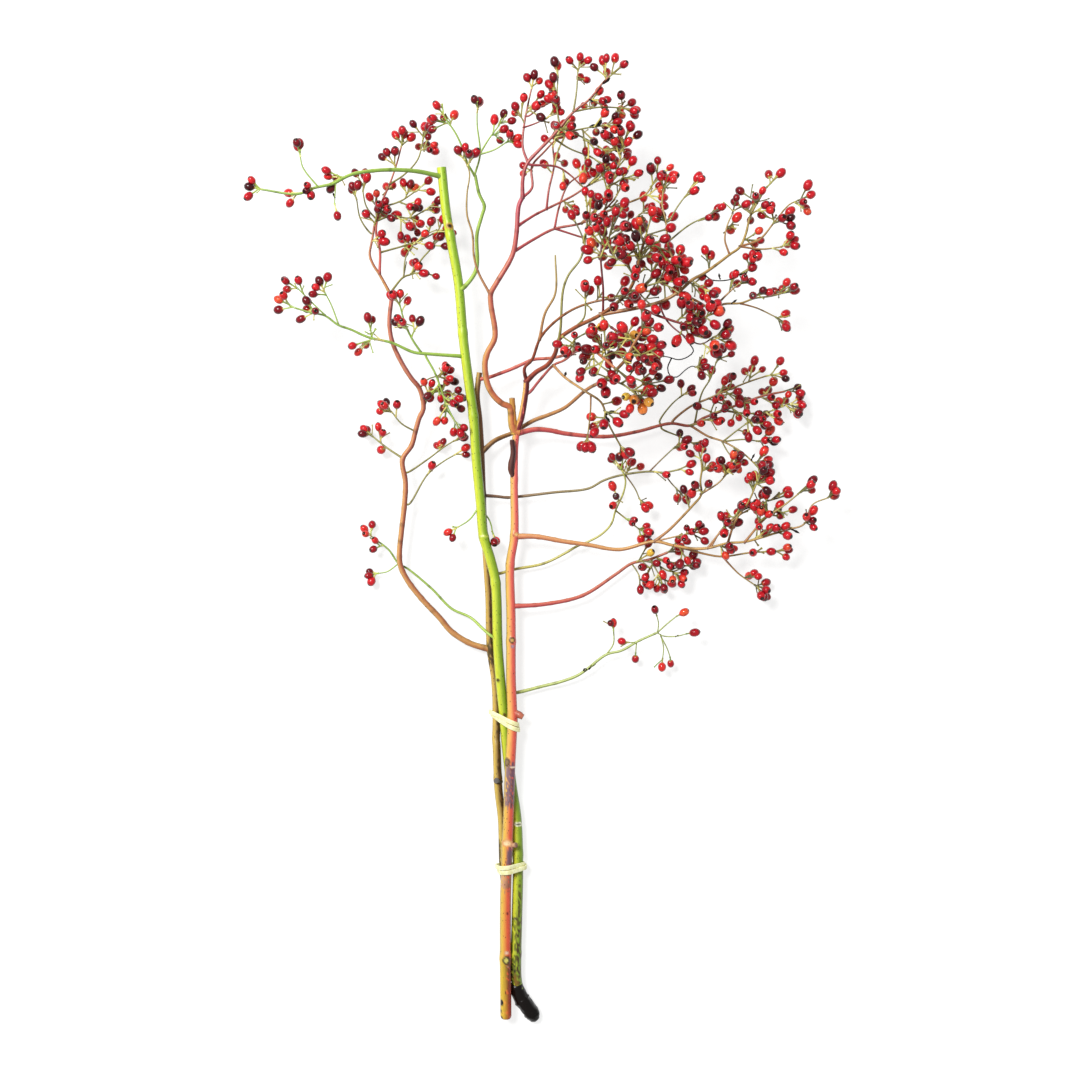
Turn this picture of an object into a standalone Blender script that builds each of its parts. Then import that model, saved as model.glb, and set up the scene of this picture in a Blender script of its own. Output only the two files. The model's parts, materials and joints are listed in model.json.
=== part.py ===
"""Rose hip bundle: three cut canes of a small-hipped rose, tied with two rubber bands.

Each cane is one grown piece: its stem, its limbs, its stalks and its hips are fused in one body.
The bundle lies on its side along +Y, foot end at -Y, and stands on three low points at z = 0:
the flat underside of the green cane's heel, and one hip on each side of the crown.

A limb is a route of hand-chosen points in millimetres (x, y, height of its centre line).
Hips are set out by a rule: sprays of one to four hips leave the outer part of each limb at the
golden angle, and a spray that would touch another cane is drawn again.
"""

import math
import random
from dataclasses import dataclass

import bmesh
import bpy
import numpy as np
from mathutils import Matrix, Vector

MM = 0.001
SEED = 47

# ---------------------------------------------------------------- driving dimensions (mm)
CLEARANCE = 0.45            # least gap between two canes, or a cane and a band
HIP_RADIUS = (2.6, 3.8)     # smallest and largest half width of a hip
HIP_STRETCH = (1.12, 1.38)  # length of a hip over its width
PLUMP_LIMBS = ("heart", "near", "crossing", "dark_leader", "front", "plump")
PLUMPNESS = 1.15            # how much wider the hips on those limbs are
BERRY_GAP = 0.25            # least gap between two hips of a cane
STALK_RADIUS = 0.6          # of the stalk that carries a hip
ROOT_SINK = 1.3             # how deep a stalk starts inside the end of its limb
FLOOR_GAP = 0.5             # what hangs low stops this far above the floor
HIGHEST = 150.0             # no hip is centred above this height
SPRAY_SIZES = (2, 3, 3, 4, 4)
GOLDEN_ANGLE = math.radians(137.508)
LEADING_SHARE = 0.08        # sprays along a limb whose first hip is modelled here
TRIES = 60                  # draws for a spray before it is left off
HEEL_CUT = 40.0             # half width of the block that cuts the heel flat

BAND_WIDTH = 3.2
BAND_THICKNESS = 1.1
BAND_STEPS = 24             # points along one turn of a band


@dataclass(frozen=True)
class Limb:
    """One stem, limb or twig of a cane, with the hips that it bears."""

    name: str
    girth: tuple        # radii along the route, evenly spread (mm)
    hips: int           # hips to set out on it
    reach: float        # length of its stalks (mm)
    bare: float         # share of the route, from its root, that bears no hips
    route: tuple        # (x, y, z) of its centre line (mm)


@dataclass(frozen=True)
class Band:
    """A rubber band wound twice round the stems."""

    name: str
    y: float            # where it crosses x = middle (mm)
    middle: float
    slant: float        # change of y per mm of x
    part: float         # half the distance between the two turns on top (mm)
    lift: float         # how far the outer turn crosses over the inner one below (mm)


@dataclass
class Hip:
    """A hip at the end of its stalk."""

    root: Vector        # where the stalk starts, on a limb or on another stalk
    centre: Vector
    axis: Vector        # from the stalk to the tip of the hip
    radius: float
    stretch: float
    leads: bool         # the first hip of its spray


GREEN_LIMBS = (
    Limb("main_cane", (4.4, 4.2, 4.0, 3.9, 3.8, 3.7), 0, 0, 1, (
        (-18.5, -362.6, 6.3), (-23.8, -352.7, 7), (-25.8, -343.6, 7.9), (-26.2, -327.2, 8.5),
        (-25.4, -294.8, 9), (-24.6, -252, 9), (-25.8, -214.2, 8.5), (-29.8, -186, 8.3),
        (-33.8, -153.6, 8.7), (-35.4, -133.1, 11.5), (-37.8, -108.7, 14), (-40.5, -76.5, 15),
        (-42.5, -21.8, 18), (-46.4, -4.1, 19.3), (-52, 15.1, 20.5), (-54.3, 41.5, 22),
        (-57.4, 74.1, 24.5), (-59.7, 108.9, 27), (-63.5, 138.1, 30), (-67.4, 170.2, 33),
        (-71.1, 213.9, 37), (-76.4, 245.4, 41), (-80.2, 267, 43), (-83.9, 303, 47),
    )),
    Limb("heel", (3.4, 5.6, 6.0, 6.1, 6.2, 6.2, 6.1, 6.0, 5.8, 5.0, 4.0), 0, 0, 1, (
        (-10.6, -376.6, 5.6), (-11.8, -374.1, 5.7), (-17.1, -366, 5.9), (-22.3, -358.6, 6.2),
        (-25.2, -351.6, 6.8), (-25.8, -345.2, 7.8),
    )),
    Limb("top_reach", (1.9, 1.3, 0.8), 13, 11, 0.55, (
        (-83.9, 295.9, 47), (-103, 297, 60), (-127, 295, 72), (-149, 290, 80), (-157, 286, 82),
        (-163, 282, 84), (-178, 278, 86), (-190, 273, 88), (-217, 276, 90),
    )),
    Limb("top_reach_up", (0.7, 0.5), 3, 8, 0.6, (
        (-174.5, 278.4, 86), (-186, 293, 88), (-188, 302, 89),
    )),
    Limb("top_reach_drop", (0.5, 0.4), 1, 10, 0.9, (
        (-161.7, 282.5, 83.7), (-163, 266, 82),
    )),
    Limb("inner_riser", (1.7, 1.2), 0, 0, 1, (
        (-69.5, 209.1, 37), (-67, 210, 40), (-57, 223, 44), (-56, 250, 50), (-52, 264, 53),
        (-50, 271, 55), (-54, 280, 57), (-57, 294, 60),
    )),
    Limb("inner_riser_left", (0.9, 0.6), 7, 9, 0.4, (
        (-57.5, 293.6, 60), (-63, 303, 63), (-66, 312, 65), (-71, 323, 68), (-80, 336, 70),
    )),
    Limb("inner_riser_top", (0.8, 0.5), 3, 9, 0.5, (
        (-57.5, 293.6, 60), (-53, 309, 64), (-55, 330, 70), (-55, 340, 72),
    )),
    Limb("inner_riser_right", (0.7, 0.5), 6, 9, 0.4, (
        (-53.5, 308.9, 64), (-46, 320, 68), (-38, 330, 70),
    )),
    Limb("inner_riser_out", (0.7, 0.5), 4, 9, 0.4, (
        (-53.5, 308.9, 64), (-42, 312, 66), (-32, 318, 67),
    )),
    Limb("left_reach", (1.5, 1.0, 0.7), 16, 11, 0.45, (
        (-68.2, 156.9, 32), (-71, 157, 34), (-95, 158, 40), (-106, 159, 42), (-123, 166, 46),
        (-141, 170, 48), (-155, 176, 50), (-164, 179, 52), (-174, 186, 54), (-184, 188, 55),
        (-198, 192, 56),
    )),
    Limb("left_reach_up", (0.9, 0.6), 11, 11, 0.35, (
        (-100, 158.5, 40.9), (-107, 169, 46), (-112, 180, 50), (-116, 195, 54),
    )),
    Limb("left_reach_down", (0.9, 0.6), 15, 10, 0.4, (
        (-96.8, 158.4, 40.4), (-97, 157, 40), (-90, 144, 38), (-85, 131, 36), (-81, 119, 34),
        (-74, 105, 34),
    )),
    Limb("low_left_twig", (1.2, 0.7), 5, 9, 0.75, (
        (-41.7, -68.4, 15), (-47.4, -64.4, 15.2), (-53.1, -59.7, 12.5), (-62.9, -51.1, 8),
        (-78.4, -43.9, 6.5), (-94.6, -27.7, 6), (-114, -11.6, 6), (-121.3, -7.5, 6),
        (-129.3, 3.8, 7), (-142.1, 13.5, 8),
    )),
    Limb("low_left_fork", (0.6, 0.5), 3, 8, 0.5, (
        (-121.3, -7.5, 6), (-130.1, -14, 7), (-138.2, -15.6, 7),
    )),
    Limb("little_spur", (0.8, 0.5), 3, 8, 0.5, (
        (-54.3, 39.9, 22), (-63, 27.8, 24), (-72.5, 21.5, 25),
    )),
    Limb("little_spur_right", (0.7, 0.5), 2, 6, 0.5, (
        (-52.8, 34.3, 21), (-48.1, 28.7, 17), (-45.7, 22.3, 15.5), (-45.2, 17.5, 15.5),
    )),
    Limb("under_twig", (1.3, 0.7), 6, 11, 0.75, (
        (-44.1, -13.7, 18), (-40.2, -15.5, 12), (-28.2, -12.3, 9), (-4, -7.5, 8), (13, 0.6, 9),
        (22.7, 6.3, 9), (32.3, 10.3, 10), (43.5, 16.7, 12), (50.7, 24.8, 14), (53.8, 35.2, 16),
        (60, 49.5, 20), (61.4, 58.9, 24), (58.9, 66.8, 26),
    )),
    Limb("under_twig_fork", (0.7, 0.5), 6, 9, 0.4, (
        (53.8, 35.2, 16), (65.1, 26.4, 14), (73.3, 19.9, 13),
    )),
    Limb("lowest_twig", (1.5, 0.9), 0, 0, 1, (
        (-37.8, -112, 13), (-33.8, -112.3, 10), (-25, -111.6, 8.5), (-5.6, -106.8, 8),
        (10.6, -102.7, 9), (23.4, -97.8, 10), (30.7, -92.9, 11), (46.7, -80.6, 13),
        (58.7, -77.3, 15), (71.4, -69.9, 17), (87.2, -62.5, 20),
    )),
    Limb("lowest_twig_tip", (0.6, 0.5), 1, 4, 0.95, (
        (87.2, -62.5, 20), (95, -55.2, 22), (102.8, -48.7, 24),
    )),
    Limb("lowest_twig_up", (0.5, 0.45), 1, 4, 0.95, (
        (87.2, -62.5, 20), (87.8, -55.1, 23), (85.9, -47.8, 26),
    )),
    Limb("lowest_twig_side", (0.5, 0.45), 1, 4, 0.95, (
        (87.2, -62.5, 20), (90.4, -64.9, 20), (101.5, -65.6, 21), (111, -63.2, 22),
    )),
    Limb("lowest_twig_low", (0.5, 0.45), 1, 5, 0.95, (
        (89.6, -64.1, 20), (92.2, -74.6, 18), (91.5, -84.4, 16),
    )),
    Limb("lowest_twig_low_b", (0.5, 0.45), 1, 4, 0.95, (
        (90, -65.7, 19.7), (95.4, -76.2, 18), (98, -83.7, 15),
    )),
    Limb("lowest_twig_spur", (0.6, 0.5), 2, 4, 0.8, (
        (46.7, -80.6, 13), (52.2, -71.6, 16), (52.1, -60.2, 18),
    )),
    Limb("lowest_twig_mid", (0.5, 0.45), 1, 4, 0.95, (
        (69.8, -70.7, 17), (63.3, -70.6, 18),
    )),
    Limb("lowest_twig_mid_low", (0.5, 0.45), 1, 4, 0.95, (
        (70.6, -70.7, 17), (70, -80.5, 14),
    )),
)

RED_LIMBS = (
    Limb("main_cane", (4.5, 4.4, 4.2, 4.0, 3.7, 3.1, 2.4), 0, 0, 1, (
        (-34.2, -373.5, 12.8), (-34.6, -326, 13), (-34.5, -277.3, 14.8), (-33.7, -250.5, 16.2),
        (-32.1, -208.7, 16.6), (-30.8, -172.5, 17.5), (-29, -132.4, 17.6), (-30, -100.3, 17.5),
        (-30, -52.2, 18), (-30.7, -8.1, 19), (-27.4, 14.3, 20), (-27.4, 59.8, 22),
        (-25.9, 94.8, 24), (-21.5, 109.7, 27), (-17.9, 130.8, 31), (-17.5, 137.1, 32),
    )),
    Limb("dark_leader", (2.0, 1.0), 30, 17, 0.52, (
        (-17.5, 137.1, 32), (-10, 144, 36), (-1, 149, 42), (5, 157, 50), (8, 167, 58),
        (20, 175, 66), (39, 183, 78), (58, 197, 88), (65, 209, 95), (68, 224, 100), (72, 238, 104),
    )),
    Limb("dark_leader_fork", (1.4, 0.8), 8, 12, 0.6, (
        (-17.5, 137.1, 32), (-19, 147, 38), (-13, 153, 44), (-7, 168, 52), (2, 178, 60),
        (17, 188, 68), (32, 193, 74), (50, 196, 78),
    )),
    Limb("bare_twig", (1.2, 0.6), 0, 0, 1, (
        (-7.2, 167.7, 52), (-3, 187, 58), (5, 202, 62), (5, 231, 66),
    )),
    Limb("pale_twig", (1.1, 0.7), 5, 15, 0.5, (
        (7.5, 165.4, 58), (9, 174, 62), (11, 204, 66), (15, 215, 68), (25, 229, 70), (30, 261, 74),
    )),
    Limb("pink_twig", (1.2, 0.7), 3, 14, 0.5, (
        (-18.4, 128.1, 30.5), (-16, 128, 30), (-7, 138, 34), (4, 149, 42), (12, 152, 47),
        (23, 159, 52), (47, 163, 60),
    )),
    Limb("front_twig", (1.1, 0.7), 10, 11, 0.45, (
        (3.8, 148.6, 42), (13, 137, 60), (28, 125, 75), (40, 117, 72), (46, 102, 60), (56, 85, 50),
    )),
    Limb("front_twig_side", (0.7, 0.5), 3, 8, 0.6, (
        (32.1, 122.3, 74), (32, 110, 66), (30, 91, 58),
    )),
    Limb("snag_limb", (2.6, 2.2, 1.7), 0, 0, 1, (
        (-25.2, 97.5, 24.5), (-27.1, 97.9, 25), (-29.5, 104.1, 28), (-31, 117, 32), (-36, 119, 34),
        (-43, 125, 37), (-48, 134, 40), (-50, 150, 44), (-48, 158, 46), (-42, 170, 49),
        (-45, 195, 54), (-45, 203, 56), (-41, 210, 58), (-28, 232, 62), (-25, 247, 65),
        (-23, 269, 68), (-20, 275, 69),
    )),
    Limb("top_limb", (1.5, 0.7), 17, 11, 0.4, (
        (-20.2, 274.6, 69), (-20, 288, 71), (-17, 299, 73), (-7, 310, 75), (3, 320, 76),
        (19, 338, 78), (31, 347, 80), (40, 358, 81), (46, 364, 82),
    )),
    Limb("top_limb_twin", (1.1, 0.6), 5, 11, 0.4, (
        (-20.2, 274.6, 69), (-13, 282, 68), (-13, 299, 67), (-3, 311, 66), (5, 320, 65),
    )),
    Limb("top_left_spray", (1.0, 0.6), 11, 11, 0.35, (
        (-16, 300.2, 73.2), (-20, 312, 74), (-19, 328, 75), (-16, 344, 76), (-13, 357, 77),
    )),
    Limb("top_back_spray", (1.0, 0.6), 5, 11, 0.4, (
        (-16.1, 300.1, 73.2), (-15, 299, 73), (6, 299, 66), (16, 294, 62), (25, 286, 60),
    )),
    Limb("upper_fork", (1.2, 0.7), 7, 12, 0.6, (
        (-23.4, 253.7, 66), (-11, 263, 60), (-2, 268, 58), (19, 279, 56), (32, 288, 55),
    )),
    Limb("upper_fork_side", (0.9, 0.6), 4, 10, 0.5, (
        (-1.8, 267.7, 58), (0, 282, 62), (4, 301, 60), (3, 317, 58),
    )),
    Limb("middle_fork", (1.3, 0.7), 12, 12, 0.7, (
        (-27.7, 233.8, 62.3), (-11, 245, 58), (4, 253, 56), (25, 257, 58), (39, 263, 62),
        (51, 274, 66),
    )),
    Limb("middle_fork_up", (0.9, 0.6), 3, 10, 0.5, (
        (4.5, 253.4, 56), (8, 271, 50), (15, 289, 48), (24, 297, 46),
    )),
    Limb("middle_fork_low", (0.9, 0.6), 8, 11, 0.5, (
        (4.5, 253.4, 56), (27, 247, 52), (43, 243, 50),
    )),
    Limb("tan_twig", (1.0, 0.5), 6, 10, 0.6, (
        (-46, 202.9, 56), (-55, 220, 58), (-58, 232, 60), (-59, 248, 62), (-63, 262, 64),
        (-63, 278, 66), (-61, 294, 68), (-65, 304, 70),
    )),
    Limb("crown_right", (0.8, 0.5), 11, 10, 0.3, (
        (18.7, 338.1, 78), (39, 342, 76), (56, 342, 74),
    )),
    Limb("crown_low", (0.8, 0.5), 9, 11, 0.5, (
        (2.7, 319.6, 76), (23, 326, 72), (43, 330, 70),
    )),
    Limb("crown_left", (0.8, 0.5), 10, 9, 0.3, (
        (8.4, 326.1, 76.7), (6, 343, 78), (7, 365, 79),
    )),
    Limb("crown_top", (0.8, 0.5), 6, 8, 0.3, (
        (18.7, 338.1, 78), (21, 353, 79), (22, 369, 80),
    )),
    Limb("right_shoulder", (1.0, 0.6), 17, 14, 0.25, (
        (25.4, 256.9, 58), (39, 270, 64), (48, 285, 68), (54, 300, 70), (56, 314, 72),
    )),
    Limb("right_shoulder_out", (1.0, 0.6), 9, 11, 0.3, (
        (39.2, 263, 62), (58, 270, 66), (74, 277, 68), (83, 290, 70),
    )),
    Limb("shoulder_fill", (0.9, 0.6), 8, 11, 0.3, (
        (31.7, 287.8, 55), (43, 301, 54), (49, 315, 54),
    )),
    Limb("shoulder_fill_low", (0.9, 0.6), 10, 14, 0.3, (
        (42.8, 242.9, 50), (57, 252, 52), (71, 265, 54),
    )),
    Limb("right_leader", (1.6, 0.7), 22, 12, 0.4, (
        (39.3, 183.4, 78), (69, 188, 84), (85, 192, 86), (98, 199, 88), (108, 208, 88),
        (117, 213, 87), (128, 221, 85), (137, 228, 84), (145, 234, 82), (150, 245, 80),
        (153, 257, 78), (159, 269, 76), (167, 282, 75),
    )),
    Limb("right_leader_up", (1.1, 0.6), 8, 11, 0.35, (
        (99.4, 200.8, 88), (97, 215, 92), (91, 228, 94), (89, 236, 95), (88, 250, 95),
        (85, 264, 94), (86, 275, 93),
    )),
    Limb("up_side_a", (0.7, 0.5), 4, 9, 0.6, (
        (89.3, 235.4, 94.9), (106, 249, 92), (120, 256, 90),
    )),
    Limb("up_side_b", (0.7, 0.5), 4, 9, 0.6, (
        (88.1, 250.4, 95), (90, 251, 95), (96, 261, 97), (105, 273, 98),
    )),
    Limb("right_low_fork", (1.1, 0.6), 9, 10, 0.45, (
        (97.9, 199.3, 88), (115, 192, 80), (124, 188, 76), (134, 192, 74), (147, 193, 72),
        (158, 197, 70), (171, 199, 68), (181, 202, 66),
    )),
    Limb("right_low_side", (0.7, 0.5), 3, 8, 0.6, (
        (146.8, 192.7, 72), (160, 190, 67), (176, 183, 64),
    )),
    Limb("right_inner", (0.8, 0.5), 10, 10, 0.35, (
        (131.2, 190.6, 74.6), (130, 192, 74), (139, 202, 76), (148, 210, 77), (153, 221, 78),
    )),
    Limb("right_rise", (0.8, 0.5), 6, 8, 0.6, (
        (136.9, 228, 84), (133, 239, 87), (135, 250, 88), (139, 259, 89),
    )),
    Limb("right_reach", (0.9, 0.5), 13, 10, 0.5, (
        (144.8, 234.5, 82), (160, 240, 80), (172, 254, 79), (183, 267, 78), (191, 271, 77),
    )),
    Limb("right_reach_low", (0.8, 0.5), 5, 8, 0.6, (
        (144.8, 234.5, 82), (162, 233, 79), (178, 235, 78),
    )),
    Limb("near_cluster", (1.1, 0.8), 18, 12, 0.6, (
        (68.7, 187.8, 84), (86, 178, 98), (104, 172, 108), (115, 176, 115),
    )),
    Limb("near_cluster_low", (0.8, 0.5), 11, 9, 0.6, (
        (83.8, 191.7, 85.8), (84, 189, 86), (89, 176, 94), (99, 166, 98), (113, 158, 100),
        (123, 163, 102),
    )),
    Limb("curl", (0.5, 0.4), 3, 5, 0.8, (
        (99.2, 166.2, 98), (104, 161, 94), (109, 154, 90), (105, 150, 88), (98, 148, 86),
        (91, 150, 85), (86, 151, 84),
    )),
    Limb("curl_side", (0.5, 0.4), 4, 5, 0.7, (
        (92.9, 149.4, 85.2), (90, 142, 84), (92, 136, 84), (97, 135, 85), (103, 140, 86),
        (108, 143, 87), (112, 142, 88),
    )),
    Limb("heart_a", (0.9, 0.6), 8, 15, 0.25, (
        (57.8, 197, 88), (71, 202, 92), (86, 206, 94),
    )),
    Limb("heart_b", (0.9, 0.6), 8, 15, 0.25, (
        (64.9, 209.4, 95), (55, 222, 90), (43, 227, 86),
    )),
    Limb("heart_c", (0.8, 0.6), 6, 14, 0.25, (
        (68.4, 224.3, 100), (79, 232, 98), (89, 221, 96),
    )),
    Limb("heart_d", (0.9, 0.6), 10, 15, 0.2, (
        (50, 196.4, 78), (69, 203, 74), (88, 220, 72),
    )),
    Limb("heart_e", (0.9, 0.6), 9, 14, 0.3, (
        (39.3, 183.4, 78), (47, 173, 84), (59, 166, 88),
    )),
    Limb("heart_f", (0.8, 0.6), 3, 11, 0.5, (
        (19.8, 175.1, 66), (27, 182, 72), (28, 195, 76),
    )),
    Limb("coral_limb", (2.2, 1.3, 0.8), 20, 12, 0.62, (
        (-25.5, 96.4, 24), (-10.4, 99.8, 22), (1.6, 99.1, 20), (13.6, 96.8, 18), (46.6, 94.6, 15),
        (71.6, 98.7, 14), (98.1, 105.2, 14), (114.2, 103.5, 14), (123.7, 109.1, 15),
        (140.4, 115.4, 17), (156.3, 121.7, 18), (172.8, 127.1, 20), (189.1, 130.5, 18),
    )),
    Limb("coral_limb_up", (1.0, 0.6), 20, 11, 0.4, (
        (99.5, 105, 14), (99.7, 106.8, 14), (113.8, 118.5, 18), (127.9, 124.6, 21),
        (144.3, 131.5, 24), (160, 137.7, 26), (174, 142.2, 28),
    )),
    Limb("coral_limb_down", (1.0, 0.6), 8, 11, 0.45, (
        (114.2, 103.5, 14), (128.4, 94.6, 16), (140.2, 90.4, 18), (155.7, 80.6, 22),
        (165.8, 70.9, 24),
    )),
    Limb("coral_down_side", (0.7, 0.5), 5, 9, 0.5, (
        (140.2, 90.4, 18), (156.9, 92, 19), (168.8, 90.3, 20),
    )),
    Limb("coral_stub", (0.8, 0.5), 3, 8, 0.6, (
        (90.1, 103.2, 14), (89.3, 106.8, 14), (98.7, 120.2, 17), (105.7, 126.4, 19),
    )),
    Limb("coral_stub_low", (0.8, 0.5), 3, 8, 0.6, (
        (90.4, 103.3, 14), (90.9, 101.1, 14), (105.3, 94.7, 14), (116.5, 89, 15),
    )),
    Limb("coral_rise", (0.8, 0.5), 6, 9, 0.5, (
        (117.6, 105.5, 14.4), (120, 119.9, 20), (122.8, 129.9, 24), (128.7, 139.9, 28),
        (133, 153, 32),
    )),
    Limb("coral_fill", (0.9, 0.5), 17, 11, 0.3, (
        (140.4, 115.4, 17), (159.7, 113, 16), (177.2, 114.6, 17), (193.3, 121, 17),
    )),
    Limb("lower_limb", (2.2, 1.3, 0.8), 15, 11, 0.6, (
        (-27.4, 14.3, 20), (-10.4, 14.3, 20), (12.8, 10.3, 20), (30.4, 7.9, 20), (56.7, 3.9, 21),
        (84.5, 10.3, 24), (99.5, 7.1, 26), (114.4, 4.7, 28), (126, 5, 30), (142, 9, 32),
        (155, 10, 34), (170, 14, 36), (179, 17, 38),
    )),
    Limb("lower_limb_rise", (1.2, 0.7), 10, 11, 0.45, (
        (84.5, 10.3, 24), (96.1, 19.8, 28), (105, 29, 32), (114, 39, 36), (120, 47, 40),
        (119, 58, 44), (120, 67, 46), (119, 75, 48),
    )),
    Limb("lower_rise_side", (0.8, 0.5), 9, 10, 0.4, (
        (119.5, 47.3, 40), (134, 57, 44), (141, 66, 48),
    )),
    Limb("lower_limb_under", (1.0, 0.6), 6, 10, 0.5, (
        (99.5, 7.1, 26), (111.6, 3.9, 24), (126.9, -0.1, 23), (139, -1.7, 22), (162.1, 1.5, 22),
        (179.4, 2.3, 24),
    )),
    Limb("lower_dip", (0.8, 0.5), 9, 10, 0.4, (
        (139, -1.7, 22), (145.6, -8.9, 20), (153.1, -16.1, 18), (166.2, -25, 16),
    )),
    Limb("lower_peak", (1.0, 0.6), 10, 11, 0.35, (
        (141.8, 8.7, 32), (147, 26, 38), (157, 42, 44), (163, 57, 48),
    )),
    Limb("lower_far", (1.0, 0.6), 15, 11, 0.3, (
        (154.9, 9.5, 34), (170, 28, 40), (185, 39, 44), (196, 48, 46),
    )),
    Limb("lower_far_tip", (0.9, 0.5), 8, 9, 0.4, (
        (169.7, 14.3, 36), (190, 20, 38), (201, 24, 40), (207, 39, 42), (220, 45, 44),
    )),
    Limb("lower_fill", (0.9, 0.5), 10, 12, 0.25, (
        (126.1, 4.8, 30), (138, 20, 33), (152, 32, 36), (174, 43, 38),
    )),
    Limb("foot_limb", (1.9, 1.0), 11, 13, 0.72, (
        (-30.2, -41.5, 18.2), (-25.6, -41.4, 18), (-2.4, -39.9, 16), (27.4, -33.2, 13),
        (54.1, -16.3, 10), (67.1, -7.5, 9), (81.6, -4.2, 9), (96, 1.4, 10),
    )),
    Limb("foot_limb_side", (0.8, 0.5), 9, 10, 0.3, (
        (81.6, -4.2, 9), (99.2, -13.9, 11), (110.3, -9, 13),
    )),
    Limb("dry_stub", (2.0, 2.7, 2.2, 1.8), 0, 0, 1, (
        (-27.9, 61.4, 23), (-29.8, 67.7, 25), (-28.2, 81.1, 27.5), (-29, 91, 30),
    )),
    Limb("cut_twig", (2.3, 2.0), 0, 0, 1, (
        (-30.5, -233.5, 17), (-26, -232.3, 21),
    )),
    Limb("yellow_snag", (2.4, 2.3), 0, 0, 1, (
        (-27.1, 97.9, 25), (-28.2, 112, 29), (-29, 124, 32),
    )),
    Limb("foot_bud", (3.2, 2.2), 0, 0, 1, (
        (-28.8, -126.8, 17.6), (-24.8, -127.8, 18.8), (-20.4, -130.2, 19.5),
    )),
)

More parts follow.
